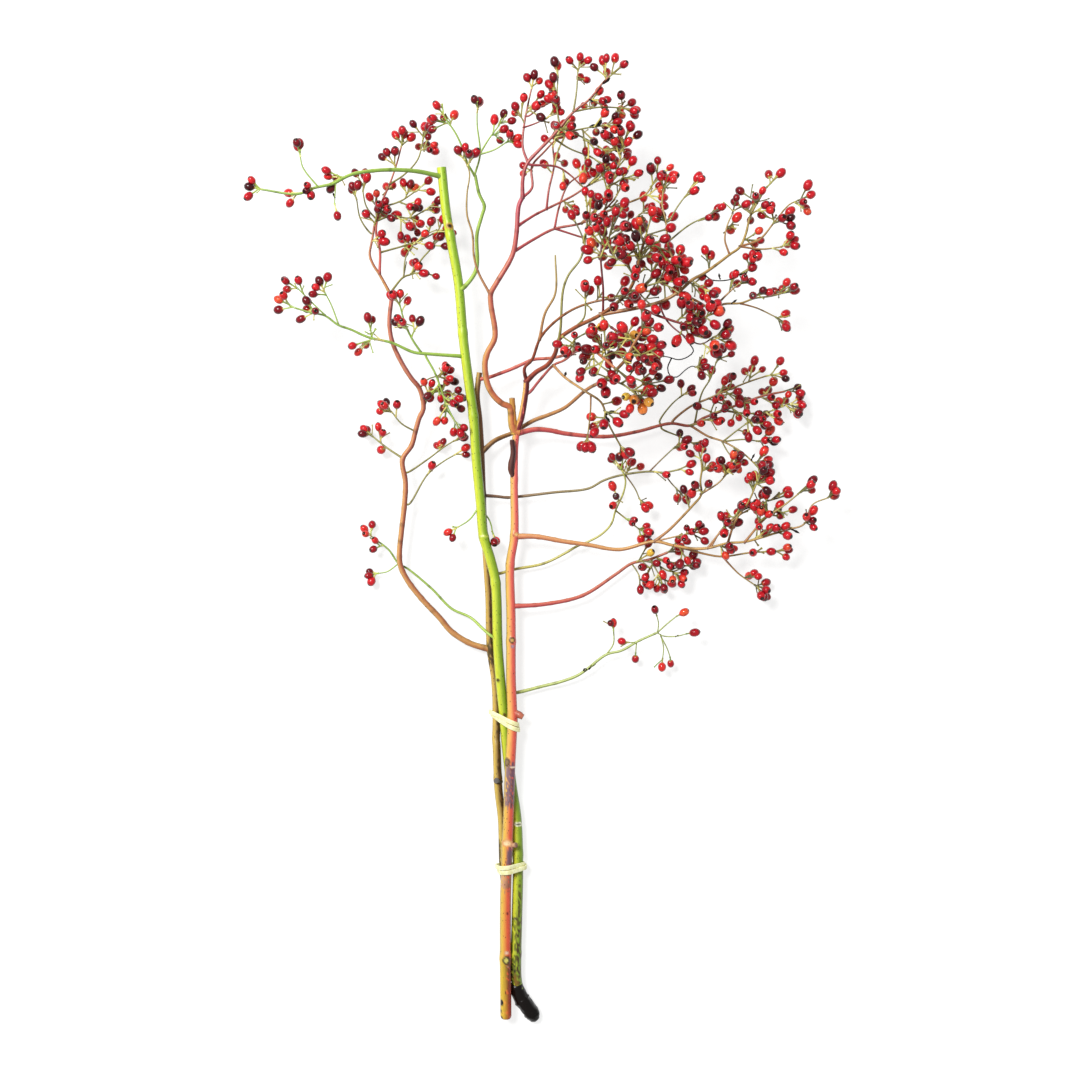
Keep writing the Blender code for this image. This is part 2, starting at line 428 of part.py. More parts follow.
OLIVE_LIMBS = (
    Limb("main_cane", (3.6, 3.4, 3.2, 2.8, 2.2), 0, 0, 1, (
        (-34.8, -359.2, 4.3), (-34.8, -348.6, 4.3), (-34.8, -328.4, 4.3), (-33.9, -279.3, 6.3),
        (-36.3, -252.3, 7.9), (-37.5, -214.3, 7.8), (-40.3, -190, 8), (-41.9, -153.6, 8.9),
        (-42.3, -149.7, 8), (-42, -140, 7.5), (-42, -127.1, 7.2), (-42.3, -113.4, 7.3),
        (-43.4, -98.8, 7.8), (-45, -89, 8.6), (-46.7, -76.8, 9.5), (-47.5, -60.7, 10),
        (-47.9, -36.4, 11), (-49.9, -4.2, 12.5), (-52.2, 28, 13.5), (-52.9, 52, 16),
        (-53.7, 80, 18), (-55.2, 107.9, 20), (-57.1, 127.8, 21.5), (-55.1, 145.2, 22.5),
    )),
    Limb("left_limb", (2.4, 2.1, 1.7), 0, 0, 1, (
        (-46.7, -76.8, 9.5), (-62.8, -71.9, 11), (-78.1, -62.2, 12), (-87.7, -50.9, 13),
        (-102.1, -35.5, 14), (-113.2, -21, 15), (-118.8, -9, 16), (-119.5, 0.7, 17),
        (-117.8, 18.3, 18), (-115.3, 39.9, 19), (-114.4, 57.5, 20), (-116.7, 75.8, 21),
        (-109.4, 87, 22), (-106.2, 98.1, 23), (-102.9, 109.2, 24), (-99.6, 116.3, 25),
        (-102.6, 131.9, 28), (-109, 140, 30), (-117, 153, 31), (-124, 169, 32), (-126, 184, 33),
        (-124, 204, 34),
    )),
    Limb("left_limb_top", (1.3, 0.8), 5, 10, 0.6, (
        (-124.2, 204.1, 34), (-134, 222, 36), (-138, 228, 37), (-141, 236, 38), (-139, 248, 39),
        (-137, 260, 40),
    )),
    Limb("crown_leader", (1.1, 0.6), 20, 11, 0.35, (
        (-133.5, 221.9, 36), (-133, 240, 38), (-136, 254, 39), (-135, 263, 40), (-131, 277, 42),
        (-125, 290, 44), (-119, 306, 46), (-115, 320, 48),
    )),
    Limb("crown_right", (0.9, 0.6), 8, 9, 0.4, (
        (-125.5, 206.5, 34.3), (-115, 220, 31), (-108.1, 223.1, 29), (-101.1, 234.6, 27),
        (-93.2, 243.6, 26),
    )),
    Limb("crown_right_up", (0.8, 0.5), 10, 9, 0.4, (
        (-132.7, 238.2, 37.8), (-115, 244, 34), (-102, 249, 31), (-91.4, 255.1, 28),
    )),
    Limb("crown_top_right", (0.8, 0.5), 14, 10, 0.35, (
        (-134.7, 262.9, 40), (-124, 267, 38), (-110, 266, 35), (-99, 272, 32),
    )),
    Limb("crown_left", (0.7, 0.5), 3, 9, 0.5, (
        (-138.1, 252.6, 39.4), (-140, 253, 39), (-148, 264, 41), (-151, 280, 42),
    )),
    Limb("crown_left_up", (0.7, 0.5), 4, 9, 0.5, (
        (-134.7, 262.8, 40), (-143, 273, 43), (-146, 286, 44),
    )),
    Limb("crown_high", (0.8, 0.5), 11, 10, 0.35, (
        (-124.9, 290.4, 44), (-113, 299, 42), (-103, 311, 40), (-99, 327, 38),
    )),
    Limb("crown_spur", (0.5, 0.4), 1, 8, 0.6, (
        (-115, 219.6, 31), (-112.9, 232.9, 28),
    )),
    Limb("crown_out", (0.5, 0.4), 1, 8, 0.6, (
        (-108.1, 223.1, 29), (-96.3, 223.5, 27),
    )),
    Limb("left_spur", (0.9, 0.6), 6, 9, 0.4, (
        (-116.2, 76.6, 21.1), (-129.8, 85.6, 18), (-142, 95.4, 16),
    )),
    Limb("right_spur", (0.8, 0.5), 6, 9, 0.4, (
        (-115.4, 65.2, 20.4), (-112.8, 65.5, 20), (-97, 76.1, 17), (-84.4, 85.9, 14),
        (-75.6, 91.6, 13),
    )),
    Limb("right_spur_low", (0.8, 0.5), 4, 9, 0.5, (
        (-115.3, 40.1, 19), (-112.1, 39.9, 19), (-97.2, 64.2, 14), (-84.6, 74.8, 11),
        (-74.9, 80.5, 10),
    )),
    Limb("cluster", (0.9, 0.6), 11, 10, 0.25, (
        (-99.6, 116.3, 25), (-94.9, 127.5, 24), (-87.1, 130.1, 22), (-77.6, 128.7, 20),
    )),
    Limb("cluster_up", (0.7, 0.5), 7, 9, 0.3, (
        (-102.6, 131.9, 28), (-96.5, 139.5, 24), (-87.2, 143.1, 20),
    )),
    Limb("cluster_left", (0.7, 0.5), 5, 9, 0.4, (
        (-106.2, 98.1, 23), (-117.1, 104.2, 26), (-124.8, 113.6, 28),
    )),
    Limb("crossing_limb", (2.0, 1.4, 1.1), 13, 14, 0.68, (
        (-53.7, 81.6, 18), (-44.1, 90.6, 16), (-36.2, 94.8, 13), (-29.8, 97.3, 11.5),
        (-21.7, 102.1, 12), (-12, 107.3, 17), (0.8, 111.4, 26), (13, 116, 38), (29, 128, 56),
        (42, 134, 75), (56, 145, 100), (62, 155, 118), (67, 163, 130),
    )),
    Limb("crossing_side", (0.9, 0.6), 11, 13, 0.3, (
        (41.7, 134.2, 75), (55, 130, 84), (67, 120, 92),
    )),
    Limb("crossing_side_up", (0.9, 0.6), 8, 11, 0.3, (
        (47.1, 138.3, 84.6), (42, 153, 94), (38, 161, 100),
    )),
    Limb("upper_crossing", (1.5, 1.2, 1.0), 13, 14, 0.72, (
        (-56.7, 139.7, 22), (-47.9, 141.1, 24), (-36.7, 145.1, 24), (-30.3, 147.5, 24),
        (-21.5, 151.3, 25), (-12, 155.3, 25), (-1.6, 156, 26), (9, 156, 40), (18, 157, 60),
        (31, 156, 85), (40, 147, 108), (48, 138, 120),
    )),
    Limb("upper_crossing_end", (0.8, 0.6), 8, 13, 0.3, (
        (39.6, 147.1, 108), (51, 151, 112), (64, 148, 114),
    )),
    Limb("thin_crossing", (1.3, 1.0, 0.7), 7, 11, 0.7, (
        (-52.1, 47.2, 16), (-41, 46.5, 13), (-33, 45.7, 12), (-23.3, 46.5, 12), (4, 49.7, 15),
        (32.1, 52.8, 18), (44, 59.1, 20), (56.7, 63, 22), (80.5, 66.1, 24), (91.6, 65.3, 25),
        (104.3, 67.6, 26),
    )),
    Limb("thin_crossing_low", (0.6, 0.5), 3, 7, 0.6, (
        (61.4, 63.6, 22.4), (69.6, 51.9, 20), (72.9, 43.9, 19),
    )),
    Limb("thin_crossing_drop", (0.6, 0.5), 3, 7, 0.6, (
        (91.6, 65.3, 25), (98.1, 56.6, 24), (104.5, 50.2, 23),
    )),
    Limb("thin_crossing_rise", (0.6, 0.5), 4, 8, 0.5, (
        (80.5, 66.1, 24), (91.4, 77.1, 28), (101, 86, 30),
    )),
    Limb("bark_knot", (2.6, 2.2), 0, 0, 1, (
        (-39.9, -183.4, 9), (-41.4, -182.5, 12.5), (-41.9, -181.8, 14.3),
    )),
)


# Hips that carry the crown: they hang from the end of a limb and touch the floor there.
REST_HIPS = {"left_spur": (-148.8, 98.5), "coral_fill": (203.2, 117.5)}

CANES = {
    "red_cane": (RED_LIMBS, (0.78, 0.24, 0.20), 0.45),
    "green_cane": (GREEN_LIMBS, (0.56, 0.70, 0.06), 0.40),
    "olive_cane": (OLIVE_LIMBS, (0.48, 0.33, 0.08), 0.50),
}

BANDS = (
    Band("upper_band", -134.2, -33.3, -0.5, 2.1, 1.6),
    Band("lower_band", -252.0, -29.8, 0.12, 1.95, 1.9),
)


# ---------------------------------------------------------------- growth
def girth_at(limb, share):
    """Radius of a limb at a share of its route."""
    stops = np.linspace(0.0, 1.0, len(limb.girth))
    return float(np.interp(share, stops, limb.girth))


def route_shares(route):
    """Share of the whole length at each point of a route."""
    steps = np.linalg.norm(np.diff(np.array(route), axis=0), axis=1)
    return np.concatenate(([0.0], np.cumsum(steps))) / steps.sum()


def along(limb, share):
    """Point and direction of a limb at a share of its route."""
    points = np.array(limb.route)
    shares = route_shares(limb.route)
    index = min(int(np.searchsorted(shares, share, side="right")), len(points) - 1)
    place = [np.interp(share, shares, points[:, i]) for i in range(3)]
    heading = Vector(points[index] - points[index - 1])
    return Vector(place), heading.normalized()


def lean_away(heading, lean, turn):
    """A direction that leans off a heading, turned about it."""
    side = heading.orthogonal().normalized()
    side.rotate(Matrix.Rotation(turn, 3, heading))
    return (heading * math.cos(lean) + side * math.sin(lean)).normalized()


class Rods:
    """The round-ended rods that stand for a cane when its clearance is tested."""

    def __init__(self):
        self.rows = np.empty((0, 7))

    def add(self, start, end, radius):
        """Add one rod between two points."""
        self.rows = np.vstack((self.rows, (*start, *end, radius)))

    def nearest(self, points, radius):
        """Least gap between balls of one radius and these rods."""
        if not len(self.rows):
            return math.inf
        start, thick = self.rows[:, 0:3], self.rows[:, 6]
        run = self.rows[:, 3:6] - start
        square = np.maximum((run * run).sum(axis=1), 1e-9)
        least = math.inf
        for point in points:
            offset = np.array(point) - start
            share = np.clip((offset * run).sum(axis=1) / square, 0.0, 1.0)
            gaps = np.linalg.norm(offset - run * share[:, None], axis=1) - thick
            least = min(least, float(gaps.min()) - radius)
        return least


class Crown:
    """Sets out the hips of all the canes, clear of each other."""

    def __init__(self):
        self.draw = random.Random(SEED)
        self.rods = {name: Rods() for name in CANES}
        self.berries = {name: Rods() for name in CANES}
        self.hips = {name: [] for name in CANES}
        self.turn = 0.0
        for name, (limbs, _, _) in CANES.items():
            for limb in limbs:
                shares = route_shares(limb.route)
                for i in range(len(limb.route) - 1):
                    thick = girth_at(limb, shares[i])
                    self.rods[name].add(limb.route[i], limb.route[i + 1], thick)

    def grow(self):
        """Set out every limb's hips, the hips that carry the bundle first."""
        for name, (limbs, _, _) in CANES.items():
            for limb in limbs:
                if limb.name in REST_HIPS:
                    self.rest_hip(name, limb)
        for name, (limbs, _, _) in CANES.items():
            for limb in limbs:
                self.dress(name, limb)

    def rest_hip(self, cane, limb):
        """Hang one hip from the limb's end so that it touches the floor."""
        radius = HIP_RADIUS[1]
        stretch = HIP_STRETCH[0]
        x, y = REST_HIPS[limb.name]
        centre = Vector((x, y, radius * stretch))
        down = Vector((0.0, 0.0, -1.0))
        root, heading = along(limb, 1.0)
        root -= heading * ROOT_SINK
        self.keep(cane, [Hip(root, centre, down, radius, stretch, True)])

    def dress(self, cane, limb):
        """Set out one limb's hips: a spray at its end, the rest up its outer part."""
        left = limb.hips
        place = 1.0
        while left > 0:
            size = min(left, self.draw.choice(SPRAY_SIZES))
            if not self.spray(cane, limb, place, size):
                self.spray(cane, limb, place, 1)
            left -= size
            place = limb.bare + (0.97 - limb.bare) * self.draw.random()

    def spray(self, cane, limb, place, size):
        """Try to set one spray of hips on a limb."""
        for attempt in range(TRIES):
            self.turn += GOLDEN_ANGLE
            hips = self.shape_spray(limb, place, size)
            if all(self.clear(cane, hip) for hip in hips):
                self.keep(cane, hips)
                return True
            if attempt % 10 == 9 and place < 1.0:
                place = min(0.98, max(limb.bare, place + self.draw.uniform(-0.15, 0.15)))
        return False

    def shape_spray(self, limb, place, size):
        """One stalk with a hip at its end, and side stalks with the others."""
        root, heading = along(limb, place)
        draw = self.draw
        if place == 1.0:
            root -= heading * ROOT_SINK
            lean = math.radians(draw.uniform(4.0, 22.0))
        else:
            lean = math.radians(draw.uniform(35.0, 68.0))
        outward = lean_away(heading, lean, self.turn)
        reach = limb.reach * draw.uniform(0.75, 1.3)
        leads = place == 1.0 or draw.random() < LEADING_SHARE
        hips = [self.hang(root, outward, reach, limb, leads)]
        for index in range(1, size):
            fork = root + outward * reach * draw.uniform(0.1, 0.45)
            turn = self.turn + index * GOLDEN_ANGLE
            side = lean_away(outward, math.radians(draw.uniform(28.0, 60.0)), turn)
            hips.append(self.hang(fork, side, reach * draw.uniform(0.65, 1.05), limb, False))
        return hips

    def hang(self, root, outward, reach, limb, leads):
        """A hip whose stalk runs straight out from its root."""
        radius = self.draw.triangular(*HIP_RADIUS)
        if limb.name.startswith(PLUMP_LIMBS):
            radius *= PLUMPNESS
        stretch = self.draw.uniform(*HIP_STRETCH)
        centre = root + outward * (reach + radius * stretch * 0.5)
        return Hip(root, centre, outward, radius, stretch, leads)

    def clear(self, cane, hip):
        """Whether a hip and its stalk miss the floor, the other canes and the other hips."""
        half = hip.radius * hip.stretch
        if hip.centre.z < half + FLOOR_GAP or hip.centre.z > HIGHEST:
            return False
        off = half - hip.radius
        body = [hip.centre - hip.axis * off, hip.centre + hip.axis * off]
        stalk = [hip.root.lerp(hip.centre, share) for share in (0.0, 0.3, 0.6, 0.8)]
        for name in CANES:
            if name != cane:
                for rods in (self.rods[name], self.berries[name]):
                    if rods.nearest(body, hip.radius) < CLEARANCE:
                        return False
                    if rods.nearest(stalk, STALK_RADIUS) < CLEARANCE:
                        return False
        if self.rods[cane].nearest([hip.centre], hip.radius) < -0.15 * hip.radius:
            return False
        return self.berries[cane].nearest([hip.centre], hip.radius) > BERRY_GAP

    def keep(self, cane, hips):
        """Take a spray into the crown."""
        for hip in hips:
            off = hip.radius * (hip.stretch - 1.0)
            ends = (hip.centre - hip.axis * off, hip.centre + hip.axis * off)
            self.berries[cane].add(*ends, hip.radius)
            self.hips[cane].append(hip)
        for hip in hips:
            neck = hip.root.lerp(hip.centre, 0.7)
            self.rods[cane].add(hip.root, neck, STALK_RADIUS)


# ---------------------------------------------------------------- modelling
def clear_scene():
    """Start from an empty scene."""
    for thing in list(bpy.data.objects):
        bpy.data.objects.remove(thing)


def make_material(name, colour, roughness):
    """A Principled material of one colour."""
    material = bpy.data.materials.new(name)
    material.use_nodes = True
    shader = material.node_tree.nodes["Principled BSDF"]
    shader.inputs["Base Color"].default_value = (*colour, 1.0)
    shader.inputs["Roughness"].default_value = roughness
    shader.inputs["Metallic"].default_value = 0.0
    return material


def add_object(name, mesh, collection):
    """Put a mesh in a collection as an object."""
    thing = bpy.data.objects.new(name, mesh)
    collection.objects.link(thing)
    return thing


def tube(limb, collection):
    """A limb as a bevelled curve, thicker at its root, made a closed mesh."""
    curve = bpy.data.curves.new(limb.name, "CURVE")
    curve.dimensions = "3D"
    curve.use_fill_caps = True
    curve.bevel_depth = MM
    thick = limb.girth[0]
    curve.bevel_resolution = 2 if thick > 3.0 else (1 if thick >= 1.5 else 0)
    spline = curve.splines.new("POLY")
    spline.points.add(len(limb.route) - 1)
    shares = route_shares(limb.route)
    route = [Vector(place) for place in limb.route]
    route[0] -= (route[1] - route[0]).normalized() * thick * 0.8
    for point, place, share in zip(spline.points, route, shares):
        point.co = (place[0] * MM, place[1] * MM, place[2] * MM, 1.0)
        point.radius = girth_at(limb, share)
        point.tilt = sum(map(ord, limb.name)) * GOLDEN_ANGLE
    drawn = add_object(limb.name, curve, bpy.context.scene.collection)
    seen = drawn.evaluated_get(bpy.context.evaluated_depsgraph_get())
    mesh = bpy.data.meshes.new_from_object(seen)
    bpy.data.objects.remove(drawn)
    weld(mesh)
    return add_object(limb.name, mesh, collection)


def weld(mesh):
    """Weld the caps of a tube to its walls and point its faces outwards."""
    shape = bmesh.new()
    shape.from_mesh(mesh)
    bmesh.ops.remove_doubles(shape, verts=shape.verts, dist=0.00001)
    bmesh.ops.recalc_face_normals(shape, faces=shape.faces)
    shape.to_mesh(mesh)
    shape.free()


def turned_to(axis, centre):
    """Placement that turns +Z to an axis and moves it to a centre, in metres."""
    turn = Vector((0.0, 0.0, 1.0)).rotation_difference(axis)
    return Matrix.Translation(centre * MM) @ turn.to_matrix().to_4x4()


def hip_body(hip, collection):
    """A hip as a stretched ball of twenty faces, one of them square to the stalk."""
    shape = bmesh.new()
    bmesh.ops.create_icosphere(shape, subdivisions=1, radius=1.0)
    shape.normal_update()
    shape.faces.ensure_lookup_table()
    flat = shape.faces[0].normal.rotation_difference(Vector((0.0, 0.0, -1.0)))
    width = hip.radius * MM
    size = Matrix.Diagonal((width, width, width * hip.stretch, 1.0))
    place = turned_to(hip.axis, hip.centre) @ size @ flat.to_matrix().to_4x4()
    bmesh.ops.transform(shape, matrix=place, verts=shape.verts)
    mesh = bpy.data.meshes.new("hip")
    shape.to_mesh(mesh)
    shape.free()
    return add_object("hip", mesh, collection)


def stalk_body(hip, collection):
    """A hip's stalk as a slim three-sided cone, from inside the limb to inside the hip."""
    run = hip.centre - hip.root
    shape = bmesh.new()
    bmesh.ops.create_cone(
        shape,
        cap_ends=True,
        segments=3,
        radius1=STALK_RADIUS * 1.1 * MM,
        radius2=STALK_RADIUS * 0.9 * MM,
        depth=run.length * MM,
        matrix=turned_to(run.normalized(), hip.root + run * 0.5),
    )
    mesh = bpy.data.meshes.new("stalk")
    shape.to_mesh(mesh)
    shape.free()
    return add_object("stalk", mesh, collection)


def fuse(trunk, pieces):
    """Join a collection's pieces to the trunk in one Boolean union, and drop the pieces."""
    union = trunk.modifiers.new("fuse", "BOOLEAN")
    union.operation = "UNION"
    union.operand_type = "COLLECTION"
    union.collection = pieces
    union.solver = "MANIFOLD"
    bpy.context.view_layer.update()
    apply_modifiers(trunk)
    for piece in list(pieces.objects):
        bpy.data.objects.remove(piece)
    bpy.data.collections.remove(pieces)


def apply_modifiers(thing):
    """Replace an object's mesh by its evaluated mesh."""
    seen = thing.evaluated_get(bpy.context.evaluated_depsgraph_get())
    mesh = bpy.data.meshes.new_from_object(seen)
    thing.modifiers.clear()
    thing.data = mesh


def keep_largest(thing):
    """Drop loose scraps that no limb carries."""
    shape = bmesh.new()
    shape.from_mesh(thing.data)
    left = set(shape.verts)
    groups = []
    while left:
        group = [left.pop()]
        for vert in group:
            for edge in vert.link_edges:
                other = edge.other_vert(vert)
                if other in left:
                    left.remove(other)
                    group.append(other)
        groups.append(group)
    groups.sort(key=len, reverse=True)
    scraps = [vert for group in groups[1:] for vert in group]
    bmesh.ops.delete(shape, geom=scraps, context="VERTS")
    bmesh.ops.triangulate(shape, faces=shape.faces)
    shape.to_mesh(thing.data)
    shape.free()


def cut_flat_below(thing):
    """Cut off what is below the floor, which leaves the heel a flat spot."""
    foot = Vector(GREEN_LIMBS[1].route[0]) * MM
    side = HEEL_CUT * MM
    shape = bmesh.new()
    size = Matrix.Diagonal((2 * side, 2 * side, 2 * side, 1.0))
    place = Matrix.Translation((foot.x, foot.y, -side)) @ size
    bmesh.ops.create_cube(shape, size=1.0, matrix=place)
    mesh = bpy.data.meshes.new("floor_cut")
    shape.to_mesh(mesh)
    shape.free()
    cutter = add_object("floor_cut", mesh, bpy.context.scene.collection)
    cutter.hide_render = True
    cut = thing.modifiers.new("flat", "BOOLEAN")
    cut.operation = "DIFFERENCE"
    cut.object = cutter
    cut.solver = "MANIFOLD"
    bpy.context.view_layer.update()
    apply_modifiers(thing)
    bpy.data.objects.remove(cutter)


def make_cane(name, crown, collection):
    """One cane: its stem, limbs, stalks and hips in one body."""
    limbs, colour, roughness = CANES[name]
    pieces = bpy.data.collections.new(f"{name}_pieces")
    bpy.context.scene.collection.children.link(pieces)
    trunk = tube(limbs[0], collection)
    trunk.name = name
    for limb in limbs[1:]:
        tube(limb, pieces)
    for hip in crown.hips[name]:
        if hip.leads:
            stalk_body(hip, pieces)
            hip_body(hip, pieces)
    fuse(trunk, pieces)
    if name == "green_cane":
        cut_flat_below(trunk)
    keep_largest(trunk)
    trunk.data.materials.clear()
    trunk.data.materials.append(make_material(name, colour, roughness))
    return trunk


# ---------------------------------------------------------------- rubber bands
def stem_at(limb, y):
    """Centre (x, z) and radius of an upright-running stem where it crosses y."""
    points = np.array(limb.route)
    order = np.argsort(points[:, 1])
    shares = route_shares(limb.route)[order]
    points = points[order]
    x = float(np.interp(y, points[:, 1], points[:, 0]))
    z = float(np.interp(y, points[:, 1], points[:, 2]))
    return x, z, girth_at(limb, float(np.interp(y, points[:, 1], shares)))


def hull_round(points):
    """Convex hull of flat points, anticlockwise (Andrew's monotone chain)."""
    points = sorted(points)
    chains = []
    for ordered in (points, points[::-1]):
        chain = []
        for point in ordered:
            while len(chain) > 1 and turns_right(chain[-2], chain[-1], point):
                chain.pop()
            chain.append(point)
        chains.append(chain[:-1])
    return chains[0] + chains[1]


def turns_right(a, b, c):
    """Whether the path a, b, c doesn't turn left at b."""
    return (b[0] - a[0]) * (c[1] - a[1]) - (b[1] - a[1]) * (c[0] - a[0]) <= 0.0


def girdle(band):
    """The closed line that hugs the three stems at a band, in the x-z plane."""
    around = []
    for limbs, _, _ in CANES.values():
        for off in (-7.0, 0.0, 7.0):
            x, z, radius = stem_at(limbs[0], band.y + off)
            for step in range(32):
                angle = math.tau * step / 32
                reach = radius + CLEARANCE
                around.append((x + reach * math.cos(angle), z + reach * math.sin(angle)))
    line = np.array(hull_round(around))
    top = int(np.argmax(line[:, 1]))
    return np.roll(line, -top, axis=0)


def band_path(band):
    """Points, outward and sideways directions along both turns of a band."""
    line = girdle(band)
    closed = np.vstack((line, line[:1]))
    steps = np.linalg.norm(np.diff(closed, axis=0), axis=1)
    shares = np.concatenate(([0.0], np.cumsum(steps))) / steps.sum()

    def on_line(share):
        share = share % 1.0
        return np.array([np.interp(share, shares, closed[:, i]) for i in range(2)])

    for step in range(2 * BAND_STEPS):
        share = step / BAND_STEPS
        place = on_line(share)
        run = on_line(share + 0.03) - on_line(share - 0.03)
        outward = Vector((run[1], 0.0, -run[0])).normalized()
        half = math.pi * share
        raised = BAND_THICKNESS / 2 + band.lift * (0.5 + 0.5 * math.sin(half)) ** 2
        y = band.y + band.slant * (place[0] - band.middle) + band.part * math.cos(half)
        yield Vector((place[0], y, place[1])) + outward * raised, outward


def make_band(band, collection):
    """A band: its flat section lofted along both turns and closed on itself."""
    shape = bmesh.new()
    rings = []
    stations = list(band_path(band))
    for index, (place, outward) in enumerate(stations):
        ahead = stations[(index + 1) % len(stations)][0] - stations[index - 1][0]
        across = ahead.normalized().cross(outward).normalized()
        ring = []
        for side, out in ((-0.5, -0.5), (0.5, -0.5), (0.5, 0.5), (-0.5, 0.5)):
            corner = place + across * side * BAND_WIDTH + outward * out * BAND_THICKNESS
            ring.append(shape.verts.new(corner * MM))
        rings.append(ring)
    for index, ring in enumerate(rings):
        following = rings[(index + 1) % len(rings)]
        for side in range(4):
            nearby = (side + 1) % 4
            shape.faces.new((ring[side], ring[nearby], following[nearby], following[side]))
    bmesh.ops.triangulate(shape, faces=shape.faces)
    bmesh.ops.recalc_face_normals(shape, faces=shape.faces)
    mesh = bpy.data.meshes.new(band.name)
    shape.to_mesh(mesh)
    shape.free()
    thing = add_object(band.name, mesh, collection)
    thing.data.materials.append(make_material(band.name, (0.92, 0.92, 0.62), 0.5))
    return thing


def main():
    """Build the bundle."""
    clear_scene()
    bundle = bpy.data.collections.new("rose_hip_bundle")
    bpy.context.scene.collection.children.link(bundle)
    crown = Crown()
    crown.grow()
    for name in CANES:
        make_cane(name, crown, bundle)
    for band in BANDS:
        make_band(band, bundle)


main()
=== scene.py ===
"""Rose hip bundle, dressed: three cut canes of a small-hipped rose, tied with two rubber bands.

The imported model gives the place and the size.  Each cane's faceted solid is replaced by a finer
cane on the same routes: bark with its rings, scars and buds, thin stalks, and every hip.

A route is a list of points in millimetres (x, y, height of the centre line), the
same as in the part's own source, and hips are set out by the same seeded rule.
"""

from __future__ import annotations

import json
import logging
import math
import random
from dataclasses import dataclass
from enum import Enum
from typing import Callable, Iterable, Iterator, Sequence

import bmesh
import bpy
import numpy as np
from mathutils import Matrix, Vector, noise

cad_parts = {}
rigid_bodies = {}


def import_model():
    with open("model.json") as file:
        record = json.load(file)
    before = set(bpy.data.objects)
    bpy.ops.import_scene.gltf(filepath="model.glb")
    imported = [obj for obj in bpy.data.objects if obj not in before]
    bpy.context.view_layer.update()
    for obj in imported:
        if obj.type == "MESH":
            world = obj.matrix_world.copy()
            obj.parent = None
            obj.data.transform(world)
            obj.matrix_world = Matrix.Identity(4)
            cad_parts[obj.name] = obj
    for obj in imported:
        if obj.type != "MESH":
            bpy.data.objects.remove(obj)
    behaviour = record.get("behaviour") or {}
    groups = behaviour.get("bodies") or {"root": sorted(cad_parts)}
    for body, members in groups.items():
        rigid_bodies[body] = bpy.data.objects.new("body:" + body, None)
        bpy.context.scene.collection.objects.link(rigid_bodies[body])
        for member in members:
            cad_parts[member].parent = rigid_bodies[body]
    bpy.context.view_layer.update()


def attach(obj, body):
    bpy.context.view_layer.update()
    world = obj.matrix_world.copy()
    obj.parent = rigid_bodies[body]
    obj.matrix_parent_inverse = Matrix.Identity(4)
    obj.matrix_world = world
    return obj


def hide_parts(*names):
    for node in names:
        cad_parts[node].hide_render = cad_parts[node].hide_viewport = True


LOG = logging.getLogger("rose_hips")
MM = 0.001
SEED = 47

# ---------------------------------------------------------------- growth, as in the part's source
CLEARANCE = 0.45            # least gap between two canes (mm)
HIP_RADIUS = (2.6, 3.8)     # smallest and largest half width of a hip (mm)
HIP_STRETCH = (1.12, 1.38)  # length of a hip over its width
PLUMP_LIMBS = ("heart", "near", "crossing", "dark_leader", "front", "plump")
PLUMPNESS = 1.15            # how much wider the hips on those limbs are
BERRY_GAP = 0.25            # least gap between two hips of a cane (mm)
STALK_RADIUS = 0.6          # of the stalk that carries a hip (mm)
ROOT_SINK = 1.3             # how deep a stalk starts inside the end of its limb (mm)
FLOOR_GAP = 0.5             # what hangs low stops this far above the floor (mm)
HIGHEST = 150.0             # no hip is centred above this height (mm)
SPRAY_SIZES = (2, 3, 3, 4, 4)
GOLDEN_ANGLE = math.radians(137.508)
LEADING_SHARE = 0.08        # sprays along a limb whose first hip the frame's solids carry too
TRIES = 60                  # draws for a spray before it is left off

# ---------------------------------------------------------------- dressing
FALLEN_SHARE = 0.08         # hips that have dropped off their stalks; the frame's own never do
BARE_SHARE = 0.42           # hips beside which stands a bare stalk, whose own hip has dropped
STRAW_FROM = 0.62           # stalks whose draw is above this have dried to straw
STALK_STOPS = (0.0, 0.12, 0.35, 0.62, 0.88, 1.0)        # places along a stalk
STALK_RADII = (0.92, 0.70, 0.60, 0.60, 0.70, 1.10)      # of a stalk at those places (mm)
BARE_RADII = (0.60, 0.50, 0.46, 0.44, 0.46, 0.72)       # of a bare stalk there (mm)
STALK_BOW = 0.045           # most that a stalk bows, over its length
STALK_SIDES = 6
STEM_GIRTH = 3.0            # a limb thicker than this is a stem (mm)
TWIG_GIRTH = 1.5            # a limb thinner than this is a twig (mm)
THIN_TWIG = 1.6             # twigs thinner than this are dark where they join (mm)
KNEE_SPACING = 13.0         # from one swollen ring of a limb to the next (mm)
KNEE_SWELL = 0.10           # how far a ring stands out, over the limb's radius
FLARE = 0.25                # how much wider a limb is at its root
STEM_END = (0.76, 0.94)     # how the cut end of a stem rounds off, over its radius
BLUSH_AND_PAINTED_LIGHT_FROM = np.array((-0.85, 0.53, 0.0))    # where the painted light on bark and stalks comes from, and the side of the bark's own two-sided colour
SHADE_SHIFT, SHADE_STEEP = 0.2, 2.3     # where the painted shade on a stem's far flank starts, and how sharply
UNDERSIDE_PAINTED_SHADE = 0.6             # factor on the bark's colour underneath: painted shade
WELD = 0.00001              # vertices nearer than this are one (m)
NEAR_BATCH = 2000           # vertices that are matched to a centre line at a time
SMOOTH_ANGLE = math.radians(50.0)

# Limbs with a few hips that never ripened, and the share of them.
UNRIPE = {"heart_e": 0.25, "foot_limb": 0.08, "heart_d": 0.05, "crossing_side": 0.2}

# Old gnarled wood, and how deep its knobs are (mm).
KNOBBY = {"heel": 0.5, "bark_knot": 0.45, "dry_stub": 0.3, "foot_bud": 0.35, "cut_twig": 0.15}

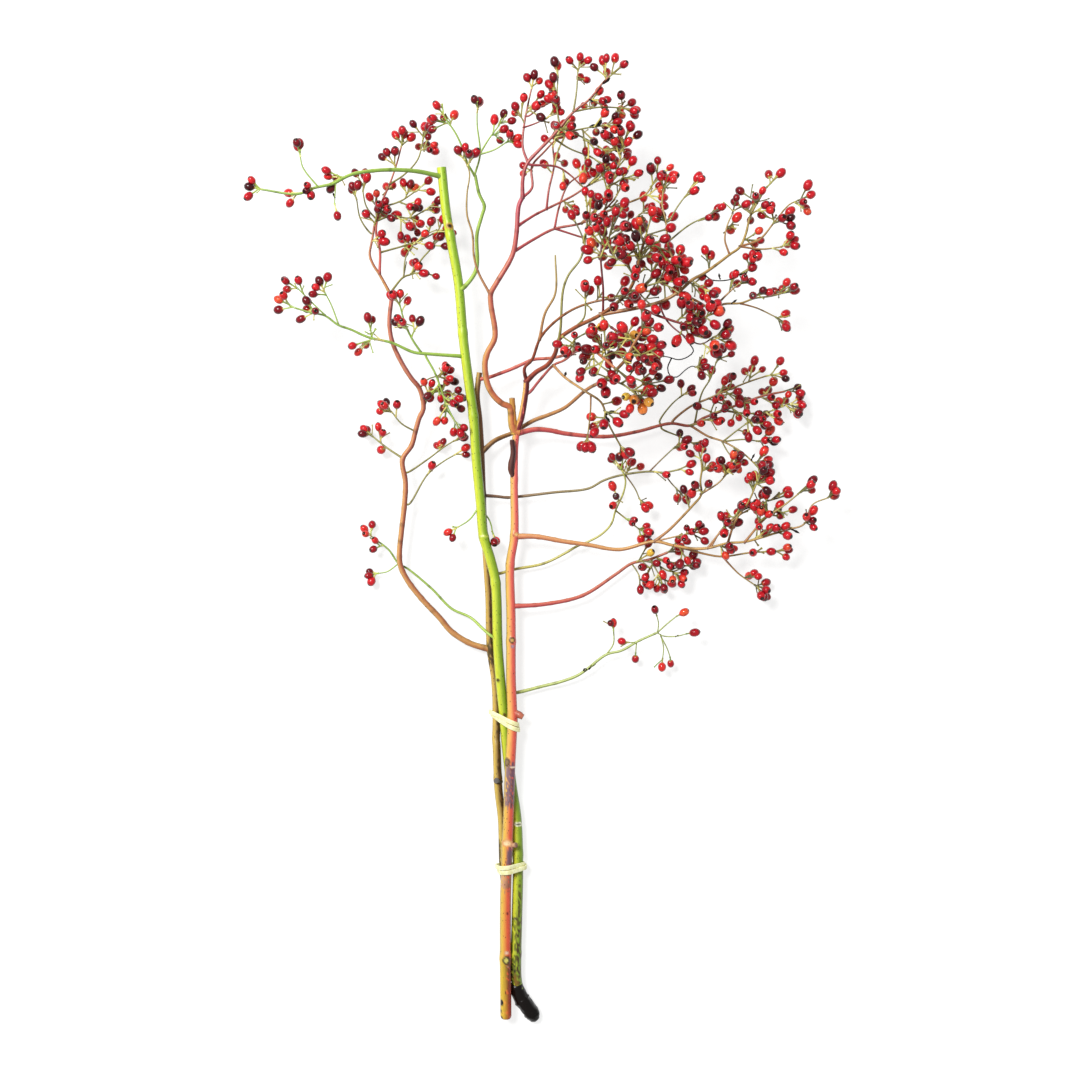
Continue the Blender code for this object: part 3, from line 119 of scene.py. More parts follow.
# What each vertex carries for its material, by name: its type, its key and its width.
ATTRIBUTES = {
    "tint": ("FLOAT_COLOR", "color", 4),        # bark colour with painted shade, and pore strength
    "grain": ("FLOAT_VECTOR", "vector", 3),     # place across, up and along a straightened stem
    "berry": ("FLOAT_COLOR", "color", 4),       # ripeness with painted shade, place along the hip, its own number
}

WHITE = (1.0, 1.0, 1.0, 1.0)
BLACK = (0.0, 0.0, 0.0, 1.0)

Point = tuple[float, float, float]
Socket = bpy.types.NodeSocket
Thing = bpy.types.Object
Mesh = bpy.types.Mesh
Material = bpy.types.Material


@dataclass(frozen=True)
class Limb:
    """One stem, limb or twig of a cane, with the hips that it bears."""

    name: str
    girth: tuple[float, ...]    # radii along the route, evenly spread (mm)
    hips: int                   # hips to set out on it
    reach: float                # length of its stalks (mm)
    bare: float                 # share of the route, from its root, that bears no hips
    route: tuple[Point, ...]    # (x, y, z) of its centre line (mm)


@dataclass(frozen=True)
class Band:
    """A rubber band wound twice round the stems."""

    name: str
    y: float            # where it crosses x = middle (mm)
    middle: float
    slant: float        # change of y per mm of x
    part: float         # half the distance between the two turns on top (mm)
    lift: float         # how far the outer turn crosses over the inner one below (mm)


@dataclass
class Hip:
    """A hip at the end of its stalk."""

    root: Vector        # where the stalk starts, on a limb or on another stalk
    centre: Vector
    axis: Vector        # from the stalk to the tip of the hip
    radius: float
    stretch: float
    limb: str           # the limb that carries it
    leads: bool         # whether the frame's solids carry it too


GREEN_LIMBS: tuple[Limb, ...] = (
    Limb("main_cane", (4.4, 4.2, 4.0, 3.9, 3.8, 3.7), 0, 0, 1, ((-18.5, -362.6, 6.3),
        (-23.8, -352.7, 7), (-25.8, -343.6, 7.9), (-26.2, -327.2, 8.5), (-25.4, -294.8, 9),
        (-24.6, -252, 9), (-25.8, -214.2, 8.5), (-29.8, -186, 8.3), (-33.8, -153.6, 8.7),
        (-35.4, -133.1, 11.5), (-37.8, -108.7, 14), (-40.5, -76.5, 15), (-42.5, -21.8, 18),
        (-46.4, -4.1, 19.3), (-52, 15.1, 20.5), (-54.3, 41.5, 22), (-57.4, 74.1, 24.5),
        (-59.7, 108.9, 27), (-63.5, 138.1, 30), (-67.4, 170.2, 33), (-71.1, 213.9, 37),
        (-76.4, 245.4, 41), (-80.2, 267, 43), (-83.9, 303, 47))),
    Limb("heel", (3.4, 5.6, 6.0, 6.1, 6.2, 6.2, 6.1, 6.0, 5.8, 5.0, 4.0), 0, 0, 1, (
        (-10.6, -376.6, 5.6), (-11.8, -374.1, 5.7), (-17.1, -366, 5.9), (-22.3, -358.6, 6.2),
        (-25.2, -351.6, 6.8), (-25.8, -345.2, 7.8))),
    Limb("top_reach", (1.9, 1.3, 0.8), 13, 11, 0.55, ((-83.9, 295.9, 47), (-103, 297, 60),
        (-127, 295, 72), (-149, 290, 80), (-157, 286, 82), (-163, 282, 84), (-178, 278, 86),
        (-190, 273, 88), (-217, 276, 90))),
    Limb("top_reach_up", (0.7, 0.5), 3, 8, 0.6, ((-174.5, 278.4, 86), (-186, 293, 88),
        (-188, 302, 89))),
    Limb("top_reach_drop", (0.5, 0.4), 1, 10, 0.9, ((-161.7, 282.5, 83.7), (-163, 266, 82))),
    Limb("inner_riser", (1.7, 1.2), 0, 0, 1, ((-69.5, 209.1, 37), (-67, 210, 40), (-57, 223, 44),
        (-56, 250, 50), (-52, 264, 53), (-50, 271, 55), (-54, 280, 57), (-57, 294, 60))),
    Limb("inner_riser_left", (0.9, 0.6), 7, 9, 0.4, ((-57.5, 293.6, 60), (-63, 303, 63),
        (-66, 312, 65), (-71, 323, 68), (-80, 336, 70))),
    Limb("inner_riser_top", (0.8, 0.5), 3, 9, 0.5, ((-57.5, 293.6, 60), (-53, 309, 64),
        (-55, 330, 70), (-55, 340, 72))),
    Limb("inner_riser_right", (0.7, 0.5), 6, 9, 0.4, ((-53.5, 308.9, 64), (-46, 320, 68),
        (-38, 330, 70))),
    Limb("inner_riser_out", (0.7, 0.5), 4, 9, 0.4, ((-53.5, 308.9, 64), (-42, 312, 66),
        (-32, 318, 67))),
    Limb("left_reach", (1.5, 1.0, 0.7), 16, 11, 0.45, ((-68.2, 156.9, 32), (-71, 157, 34),
        (-95, 158, 40), (-106, 159, 42), (-123, 166, 46), (-141, 170, 48), (-155, 176, 50),
        (-164, 179, 52), (-174, 186, 54), (-184, 188, 55), (-198, 192, 56))),
    Limb("left_reach_up", (0.9, 0.6), 11, 11, 0.35, ((-100, 158.5, 40.9), (-107, 169, 46),
        (-112, 180, 50), (-116, 195, 54))),
    Limb("left_reach_down", (0.9, 0.6), 15, 10, 0.4, ((-96.8, 158.4, 40.4), (-97, 157, 40),
        (-90, 144, 38), (-85, 131, 36), (-81, 119, 34), (-74, 105, 34))),
    Limb("low_left_twig", (1.2, 0.7), 5, 9, 0.75, ((-41.7, -68.4, 15), (-47.4, -64.4, 15.2),
        (-53.1, -59.7, 12.5), (-62.9, -51.1, 8), (-78.4, -43.9, 6.5), (-94.6, -27.7, 6),
        (-114, -11.6, 6), (-121.3, -7.5, 6), (-129.3, 3.8, 7), (-142.1, 13.5, 8))),
    Limb("low_left_fork", (0.6, 0.5), 3, 8, 0.5, ((-121.3, -7.5, 6), (-130.1, -14, 7),
        (-138.2, -15.6, 7))),
    Limb("little_spur", (0.8, 0.5), 3, 8, 0.5, ((-54.3, 39.9, 22), (-63, 27.8, 24),
        (-72.5, 21.5, 25))),
    Limb("little_spur_right", (0.7, 0.5), 2, 6, 0.5, ((-52.8, 34.3, 21), (-48.1, 28.7, 17),
        (-45.7, 22.3, 15.5), (-45.2, 17.5, 15.5))),
    Limb("under_twig", (1.3, 0.7), 6, 11, 0.75, ((-44.1, -13.7, 18), (-40.2, -15.5, 12),
        (-28.2, -12.3, 9), (-4, -7.5, 8), (13, 0.6, 9), (22.7, 6.3, 9), (32.3, 10.3, 10),
        (43.5, 16.7, 12), (50.7, 24.8, 14), (53.8, 35.2, 16), (60, 49.5, 20), (61.4, 58.9, 24),
        (58.9, 66.8, 26))),
    Limb("under_twig_fork", (0.7, 0.5), 6, 9, 0.4, ((53.8, 35.2, 16), (65.1, 26.4, 14),
        (73.3, 19.9, 13))),
    Limb("lowest_twig", (1.5, 0.9), 0, 0, 1, ((-37.8, -112, 13), (-33.8, -112.3, 10),
        (-25, -111.6, 8.5), (-5.6, -106.8, 8), (10.6, -102.7, 9), (23.4, -97.8, 10),
        (30.7, -92.9, 11), (46.7, -80.6, 13), (58.7, -77.3, 15), (71.4, -69.9, 17),
        (87.2, -62.5, 20))),
    Limb("lowest_twig_tip", (0.6, 0.5), 1, 4, 0.95, ((87.2, -62.5, 20), (95, -55.2, 22),
        (102.8, -48.7, 24))),
    Limb("lowest_twig_up", (0.5, 0.45), 1, 4, 0.95, ((87.2, -62.5, 20), (87.8, -55.1, 23),
        (85.9, -47.8, 26))),
    Limb("lowest_twig_side", (0.5, 0.45), 1, 4, 0.95, ((87.2, -62.5, 20), (90.4, -64.9, 20),
        (101.5, -65.6, 21), (111, -63.2, 22))),
    Limb("lowest_twig_low", (0.5, 0.45), 1, 5, 0.95, ((89.6, -64.1, 20), (92.2, -74.6, 18),
        (91.5, -84.4, 16))),
    Limb("lowest_twig_low_b", (0.5, 0.45), 1, 4, 0.95, ((90, -65.7, 19.7), (95.4, -76.2, 18),
        (98, -83.7, 15))),
    Limb("lowest_twig_spur", (0.6, 0.5), 2, 4, 0.8, ((46.7, -80.6, 13), (52.2, -71.6, 16),
        (52.1, -60.2, 18))),
    Limb("lowest_twig_mid", (0.5, 0.45), 1, 4, 0.95, ((69.8, -70.7, 17), (63.3, -70.6, 18))),
    Limb("lowest_twig_mid_low", (0.5, 0.45), 1, 4, 0.95, ((70.6, -70.7, 17), (70, -80.5, 14))),
)

RED_LIMBS: tuple[Limb, ...] = (
    Limb("main_cane", (4.5, 4.4, 4.2, 4.0, 3.7, 3.1, 2.4), 0, 0, 1, ((-34.2, -373.5, 12.8),
        (-34.6, -326, 13), (-34.5, -277.3, 14.8), (-33.7, -250.5, 16.2), (-32.1, -208.7, 16.6),
        (-30.8, -172.5, 17.5), (-29, -132.4, 17.6), (-30, -100.3, 17.5), (-30, -52.2, 18),
        (-30.7, -8.1, 19), (-27.4, 14.3, 20), (-27.4, 59.8, 22), (-25.9, 94.8, 24),
        (-21.5, 109.7, 27), (-17.9, 130.8, 31), (-17.5, 137.1, 32))),
    Limb("dark_leader", (2.0, 1.0), 30, 17, 0.52, ((-17.5, 137.1, 32), (-10, 144, 36),
        (-1, 149, 42), (5, 157, 50), (8, 167, 58), (20, 175, 66), (39, 183, 78), (58, 197, 88),
        (65, 209, 95), (68, 224, 100), (72, 238, 104))),
    Limb("dark_leader_fork", (1.4, 0.8), 8, 12, 0.6, ((-17.5, 137.1, 32), (-19, 147, 38),
        (-13, 153, 44), (-7, 168, 52), (2, 178, 60), (17, 188, 68), (32, 193, 74), (50, 196, 78))),
    Limb("bare_twig", (1.2, 0.6), 0, 0, 1, ((-7.2, 167.7, 52), (-3, 187, 58), (5, 202, 62),
        (5, 231, 66))),
    Limb("pale_twig", (1.1, 0.7), 5, 15, 0.5, ((7.5, 165.4, 58), (9, 174, 62), (11, 204, 66),
        (15, 215, 68), (25, 229, 70), (30, 261, 74))),
    Limb("pink_twig", (1.2, 0.7), 3, 14, 0.5, ((-18.4, 128.1, 30.5), (-16, 128, 30), (-7, 138, 34),
        (4, 149, 42), (12, 152, 47), (23, 159, 52), (47, 163, 60))),
    Limb("front_twig", (1.1, 0.7), 10, 11, 0.45, ((3.8, 148.6, 42), (13, 137, 60), (28, 125, 75),
        (40, 117, 72), (46, 102, 60), (56, 85, 50))),
    Limb("front_twig_side", (0.7, 0.5), 3, 8, 0.6, ((32.1, 122.3, 74), (32, 110, 66),
        (30, 91, 58))),
    Limb("snag_limb", (2.6, 2.2, 1.7), 0, 0, 1, ((-25.2, 97.5, 24.5), (-27.1, 97.9, 25),
        (-29.5, 104.1, 28), (-31, 117, 32), (-36, 119, 34), (-43, 125, 37), (-48, 134, 40),
        (-50, 150, 44), (-48, 158, 46), (-42, 170, 49), (-45, 195, 54), (-45, 203, 56),
        (-41, 210, 58), (-28, 232, 62), (-25, 247, 65), (-23, 269, 68), (-20, 275, 69))),
    Limb("top_limb", (1.5, 0.7), 17, 11, 0.4, ((-20.2, 274.6, 69), (-20, 288, 71), (-17, 299, 73),
        (-7, 310, 75), (3, 320, 76), (19, 338, 78), (31, 347, 80), (40, 358, 81), (46, 364, 82))),
    Limb("top_limb_twin", (1.1, 0.6), 5, 11, 0.4, ((-20.2, 274.6, 69), (-13, 282, 68),
        (-13, 299, 67), (-3, 311, 66), (5, 320, 65))),
    Limb("top_left_spray", (1.0, 0.6), 11, 11, 0.35, ((-16, 300.2, 73.2), (-20, 312, 74),
        (-19, 328, 75), (-16, 344, 76), (-13, 357, 77))),
    Limb("top_back_spray", (1.0, 0.6), 5, 11, 0.4, ((-16.1, 300.1, 73.2), (-15, 299, 73),
        (6, 299, 66), (16, 294, 62), (25, 286, 60))),
    Limb("upper_fork", (1.2, 0.7), 7, 12, 0.6, ((-23.4, 253.7, 66), (-11, 263, 60), (-2, 268, 58),
        (19, 279, 56), (32, 288, 55))),
    Limb("upper_fork_side", (0.9, 0.6), 4, 10, 0.5, ((-1.8, 267.7, 58), (0, 282, 62), (4, 301, 60),
        (3, 317, 58))),
    Limb("middle_fork", (1.3, 0.7), 12, 12, 0.7, ((-27.7, 233.8, 62.3), (-11, 245, 58),
        (4, 253, 56), (25, 257, 58), (39, 263, 62), (51, 274, 66))),
    Limb("middle_fork_up", (0.9, 0.6), 3, 10, 0.5, ((4.5, 253.4, 56), (8, 271, 50), (15, 289, 48),
        (24, 297, 46))),
    Limb("middle_fork_low", (0.9, 0.6), 8, 11, 0.5, ((4.5, 253.4, 56), (27, 247, 52),
        (43, 243, 50))),
    Limb("tan_twig", (1.0, 0.5), 6, 10, 0.6, ((-46, 202.9, 56), (-55, 220, 58), (-58, 232, 60),
        (-59, 248, 62), (-63, 262, 64), (-63, 278, 66), (-61, 294, 68), (-65, 304, 70))),
    Limb("crown_right", (0.8, 0.5), 11, 10, 0.3, ((18.7, 338.1, 78), (39, 342, 76),
        (56, 342, 74))),
    Limb("crown_low", (0.8, 0.5), 9, 11, 0.5, ((2.7, 319.6, 76), (23, 326, 72), (43, 330, 70))),
    Limb("crown_left", (0.8, 0.5), 10, 9, 0.3, ((8.4, 326.1, 76.7), (6, 343, 78), (7, 365, 79))),
    Limb("crown_top", (0.8, 0.5), 6, 8, 0.3, ((18.7, 338.1, 78), (21, 353, 79), (22, 369, 80))),
    Limb("right_shoulder", (1.0, 0.6), 17, 14, 0.25, ((25.4, 256.9, 58), (39, 270, 64),
        (48, 285, 68), (54, 300, 70), (56, 314, 72))),
    Limb("right_shoulder_out", (1.0, 0.6), 9, 11, 0.3, ((39.2, 263, 62), (58, 270, 66),
        (74, 277, 68), (83, 290, 70))),
    Limb("shoulder_fill", (0.9, 0.6), 8, 11, 0.3, ((31.7, 287.8, 55), (43, 301, 54),
        (49, 315, 54))),
    Limb("shoulder_fill_low", (0.9, 0.6), 10, 14, 0.3, ((42.8, 242.9, 50), (57, 252, 52),
        (71, 265, 54))),
    Limb("right_leader", (1.6, 0.7), 22, 12, 0.4, ((39.3, 183.4, 78), (69, 188, 84), (85, 192, 86),
        (98, 199, 88), (108, 208, 88), (117, 213, 87), (128, 221, 85), (137, 228, 84),
        (145, 234, 82), (150, 245, 80), (153, 257, 78), (159, 269, 76), (167, 282, 75))),
    Limb("right_leader_up", (1.1, 0.6), 8, 11, 0.35, ((99.4, 200.8, 88), (97, 215, 92),
        (91, 228, 94), (89, 236, 95), (88, 250, 95), (85, 264, 94), (86, 275, 93))),
    Limb("up_side_a", (0.7, 0.5), 4, 9, 0.6, ((89.3, 235.4, 94.9), (106, 249, 92),
        (120, 256, 90))),
    Limb("up_side_b", (0.7, 0.5), 4, 9, 0.6, ((88.1, 250.4, 95), (90, 251, 95), (96, 261, 97),
        (105, 273, 98))),
    Limb("right_low_fork", (1.1, 0.6), 9, 10, 0.45, ((97.9, 199.3, 88), (115, 192, 80),
        (124, 188, 76), (134, 192, 74), (147, 193, 72), (158, 197, 70), (171, 199, 68),
        (181, 202, 66))),
    Limb("right_low_side", (0.7, 0.5), 3, 8, 0.6, ((146.8, 192.7, 72), (160, 190, 67),
        (176, 183, 64))),
    Limb("right_inner", (0.8, 0.5), 10, 10, 0.35, ((131.2, 190.6, 74.6), (130, 192, 74),
        (139, 202, 76), (148, 210, 77), (153, 221, 78))),
    Limb("right_rise", (0.8, 0.5), 6, 8, 0.6, ((136.9, 228, 84), (133, 239, 87), (135, 250, 88),
        (139, 259, 89))),
    Limb("right_reach", (0.9, 0.5), 13, 10, 0.5, ((144.8, 234.5, 82), (160, 240, 80),
        (172, 254, 79), (183, 267, 78), (191, 271, 77))),
    Limb("right_reach_low", (0.8, 0.5), 5, 8, 0.6, ((144.8, 234.5, 82), (162, 233, 79),
        (178, 235, 78))),
    Limb("near_cluster", (1.1, 0.8), 18, 12, 0.6, ((68.7, 187.8, 84), (86, 178, 98),
        (104, 172, 108), (115, 176, 115))),
    Limb("near_cluster_low", (0.8, 0.5), 11, 9, 0.6, ((83.8, 191.7, 85.8), (84, 189, 86),
        (89, 176, 94), (99, 166, 98), (113, 158, 100), (123, 163, 102))),
    Limb("curl", (0.5, 0.4), 3, 5, 0.8, ((99.2, 166.2, 98), (104, 161, 94), (109, 154, 90),
        (105, 150, 88), (98, 148, 86), (91, 150, 85), (86, 151, 84))),
    Limb("curl_side", (0.5, 0.4), 4, 5, 0.7, ((92.9, 149.4, 85.2), (90, 142, 84), (92, 136, 84),
        (97, 135, 85), (103, 140, 86), (108, 143, 87), (112, 142, 88))),
    Limb("heart_a", (0.9, 0.6), 8, 15, 0.25, ((57.8, 197, 88), (71, 202, 92), (86, 206, 94))),
    Limb("heart_b", (0.9, 0.6), 8, 15, 0.25, ((64.9, 209.4, 95), (55, 222, 90), (43, 227, 86))),
    Limb("heart_c", (0.8, 0.6), 6, 14, 0.25, ((68.4, 224.3, 100), (79, 232, 98), (89, 221, 96))),
    Limb("heart_d", (0.9, 0.6), 10, 15, 0.2, ((50, 196.4, 78), (69, 203, 74), (88, 220, 72))),
    Limb("heart_e", (0.9, 0.6), 9, 14, 0.3, ((39.3, 183.4, 78), (47, 173, 84), (59, 166, 88))),
    Limb("heart_f", (0.8, 0.6), 3, 11, 0.5, ((19.8, 175.1, 66), (27, 182, 72), (28, 195, 76))),
    Limb("coral_limb", (2.2, 1.3, 0.8), 20, 12, 0.62, ((-25.5, 96.4, 24), (-10.4, 99.8, 22),
        (1.6, 99.1, 20), (13.6, 96.8, 18), (46.6, 94.6, 15), (71.6, 98.7, 14), (98.1, 105.2, 14),
        (114.2, 103.5, 14), (123.7, 109.1, 15), (140.4, 115.4, 17), (156.3, 121.7, 18),
        (172.8, 127.1, 20), (189.1, 130.5, 18))),
    Limb("coral_limb_up", (1.0, 0.6), 20, 11, 0.4, ((99.5, 105, 14), (99.7, 106.8, 14),
        (113.8, 118.5, 18), (127.9, 124.6, 21), (144.3, 131.5, 24), (160, 137.7, 26),
        (174, 142.2, 28))),
    Limb("coral_limb_down", (1.0, 0.6), 8, 11, 0.45, ((114.2, 103.5, 14), (128.4, 94.6, 16),
        (140.2, 90.4, 18), (155.7, 80.6, 22), (165.8, 70.9, 24))),
    Limb("coral_down_side", (0.7, 0.5), 5, 9, 0.5, ((140.2, 90.4, 18), (156.9, 92, 19),
        (168.8, 90.3, 20))),
    Limb("coral_stub", (0.8, 0.5), 3, 8, 0.6, ((90.1, 103.2, 14), (89.3, 106.8, 14),
        (98.7, 120.2, 17), (105.7, 126.4, 19))),
    Limb("coral_stub_low", (0.8, 0.5), 3, 8, 0.6, ((90.4, 103.3, 14), (90.9, 101.1, 14),
        (105.3, 94.7, 14), (116.5, 89, 15))),
    Limb("coral_rise", (0.8, 0.5), 6, 9, 0.5, ((117.6, 105.5, 14.4), (120, 119.9, 20),
        (122.8, 129.9, 24), (128.7, 139.9, 28), (133, 153, 32))),
    Limb("coral_fill", (0.9, 0.5), 17, 11, 0.3, ((140.4, 115.4, 17), (159.7, 113, 16),
        (177.2, 114.6, 17), (193.3, 121, 17))),
    Limb("lower_limb", (2.2, 1.3, 0.8), 15, 11, 0.6, ((-27.4, 14.3, 20), (-10.4, 14.3, 20),
        (12.8, 10.3, 20), (30.4, 7.9, 20), (56.7, 3.9, 21), (84.5, 10.3, 24), (99.5, 7.1, 26),
        (114.4, 4.7, 28), (126, 5, 30), (142, 9, 32), (155, 10, 34), (170, 14, 36),
        (179, 17, 38))),
    Limb("lower_limb_rise", (1.2, 0.7), 10, 11, 0.45, ((84.5, 10.3, 24), (96.1, 19.8, 28),
        (105, 29, 32), (114, 39, 36), (120, 47, 40), (119, 58, 44), (120, 67, 46), (119, 75, 48))),
    Limb("lower_rise_side", (0.8, 0.5), 9, 10, 0.4, ((119.5, 47.3, 40), (134, 57, 44),
        (141, 66, 48))),
    Limb("lower_limb_under", (1.0, 0.6), 6, 10, 0.5, ((99.5, 7.1, 26), (111.6, 3.9, 24),
        (126.9, -0.1, 23), (139, -1.7, 22), (162.1, 1.5, 22), (179.4, 2.3, 24))),
    Limb("lower_dip", (0.8, 0.5), 9, 10, 0.4, ((139, -1.7, 22), (145.6, -8.9, 20),
        (153.1, -16.1, 18), (166.2, -25, 16))),
    Limb("lower_peak", (1.0, 0.6), 10, 11, 0.35, ((141.8, 8.7, 32), (147, 26, 38), (157, 42, 44),
        (163, 57, 48))),
    Limb("lower_far", (1.0, 0.6), 15, 11, 0.3, ((154.9, 9.5, 34), (170, 28, 40), (185, 39, 44),
        (196, 48, 46))),
    Limb("lower_far_tip", (0.9, 0.5), 8, 9, 0.4, ((169.7, 14.3, 36), (190, 20, 38), (201, 24, 40),
        (207, 39, 42), (220, 45, 44))),
    Limb("lower_fill", (0.9, 0.5), 10, 12, 0.25, ((126.1, 4.8, 30), (138, 20, 33), (152, 32, 36),
        (174, 43, 38))),
    Limb("foot_limb", (1.9, 1.0), 11, 13, 0.72, ((-30.2, -41.5, 18.2), (-25.6, -41.4, 18),
        (-2.4, -39.9, 16), (27.4, -33.2, 13), (54.1, -16.3, 10), (67.1, -7.5, 9), (81.6, -4.2, 9),
        (96, 1.4, 10))),
    Limb("foot_limb_side", (0.8, 0.5), 9, 10, 0.3, ((81.6, -4.2, 9), (99.2, -13.9, 11),
        (110.3, -9, 13))),
    Limb("dry_stub", (2.0, 2.7, 2.2, 1.8), 0, 0, 1, ((-27.9, 61.4, 23), (-29.8, 67.7, 25),
        (-28.2, 81.1, 27.5), (-29, 91, 30))),
    Limb("cut_twig", (2.3, 2.0), 0, 0, 1, ((-30.5, -233.5, 17), (-26, -232.3, 21))),
    Limb("yellow_snag", (2.4, 2.3), 0, 0, 1, ((-27.1, 97.9, 25), (-28.2, 112, 29),
        (-29, 124, 32))),
    Limb("foot_bud", (3.2, 2.2), 0, 0, 1, ((-28.8, -126.8, 17.6), (-24.8, -127.8, 18.8),
        (-20.4, -130.2, 19.5))),
)

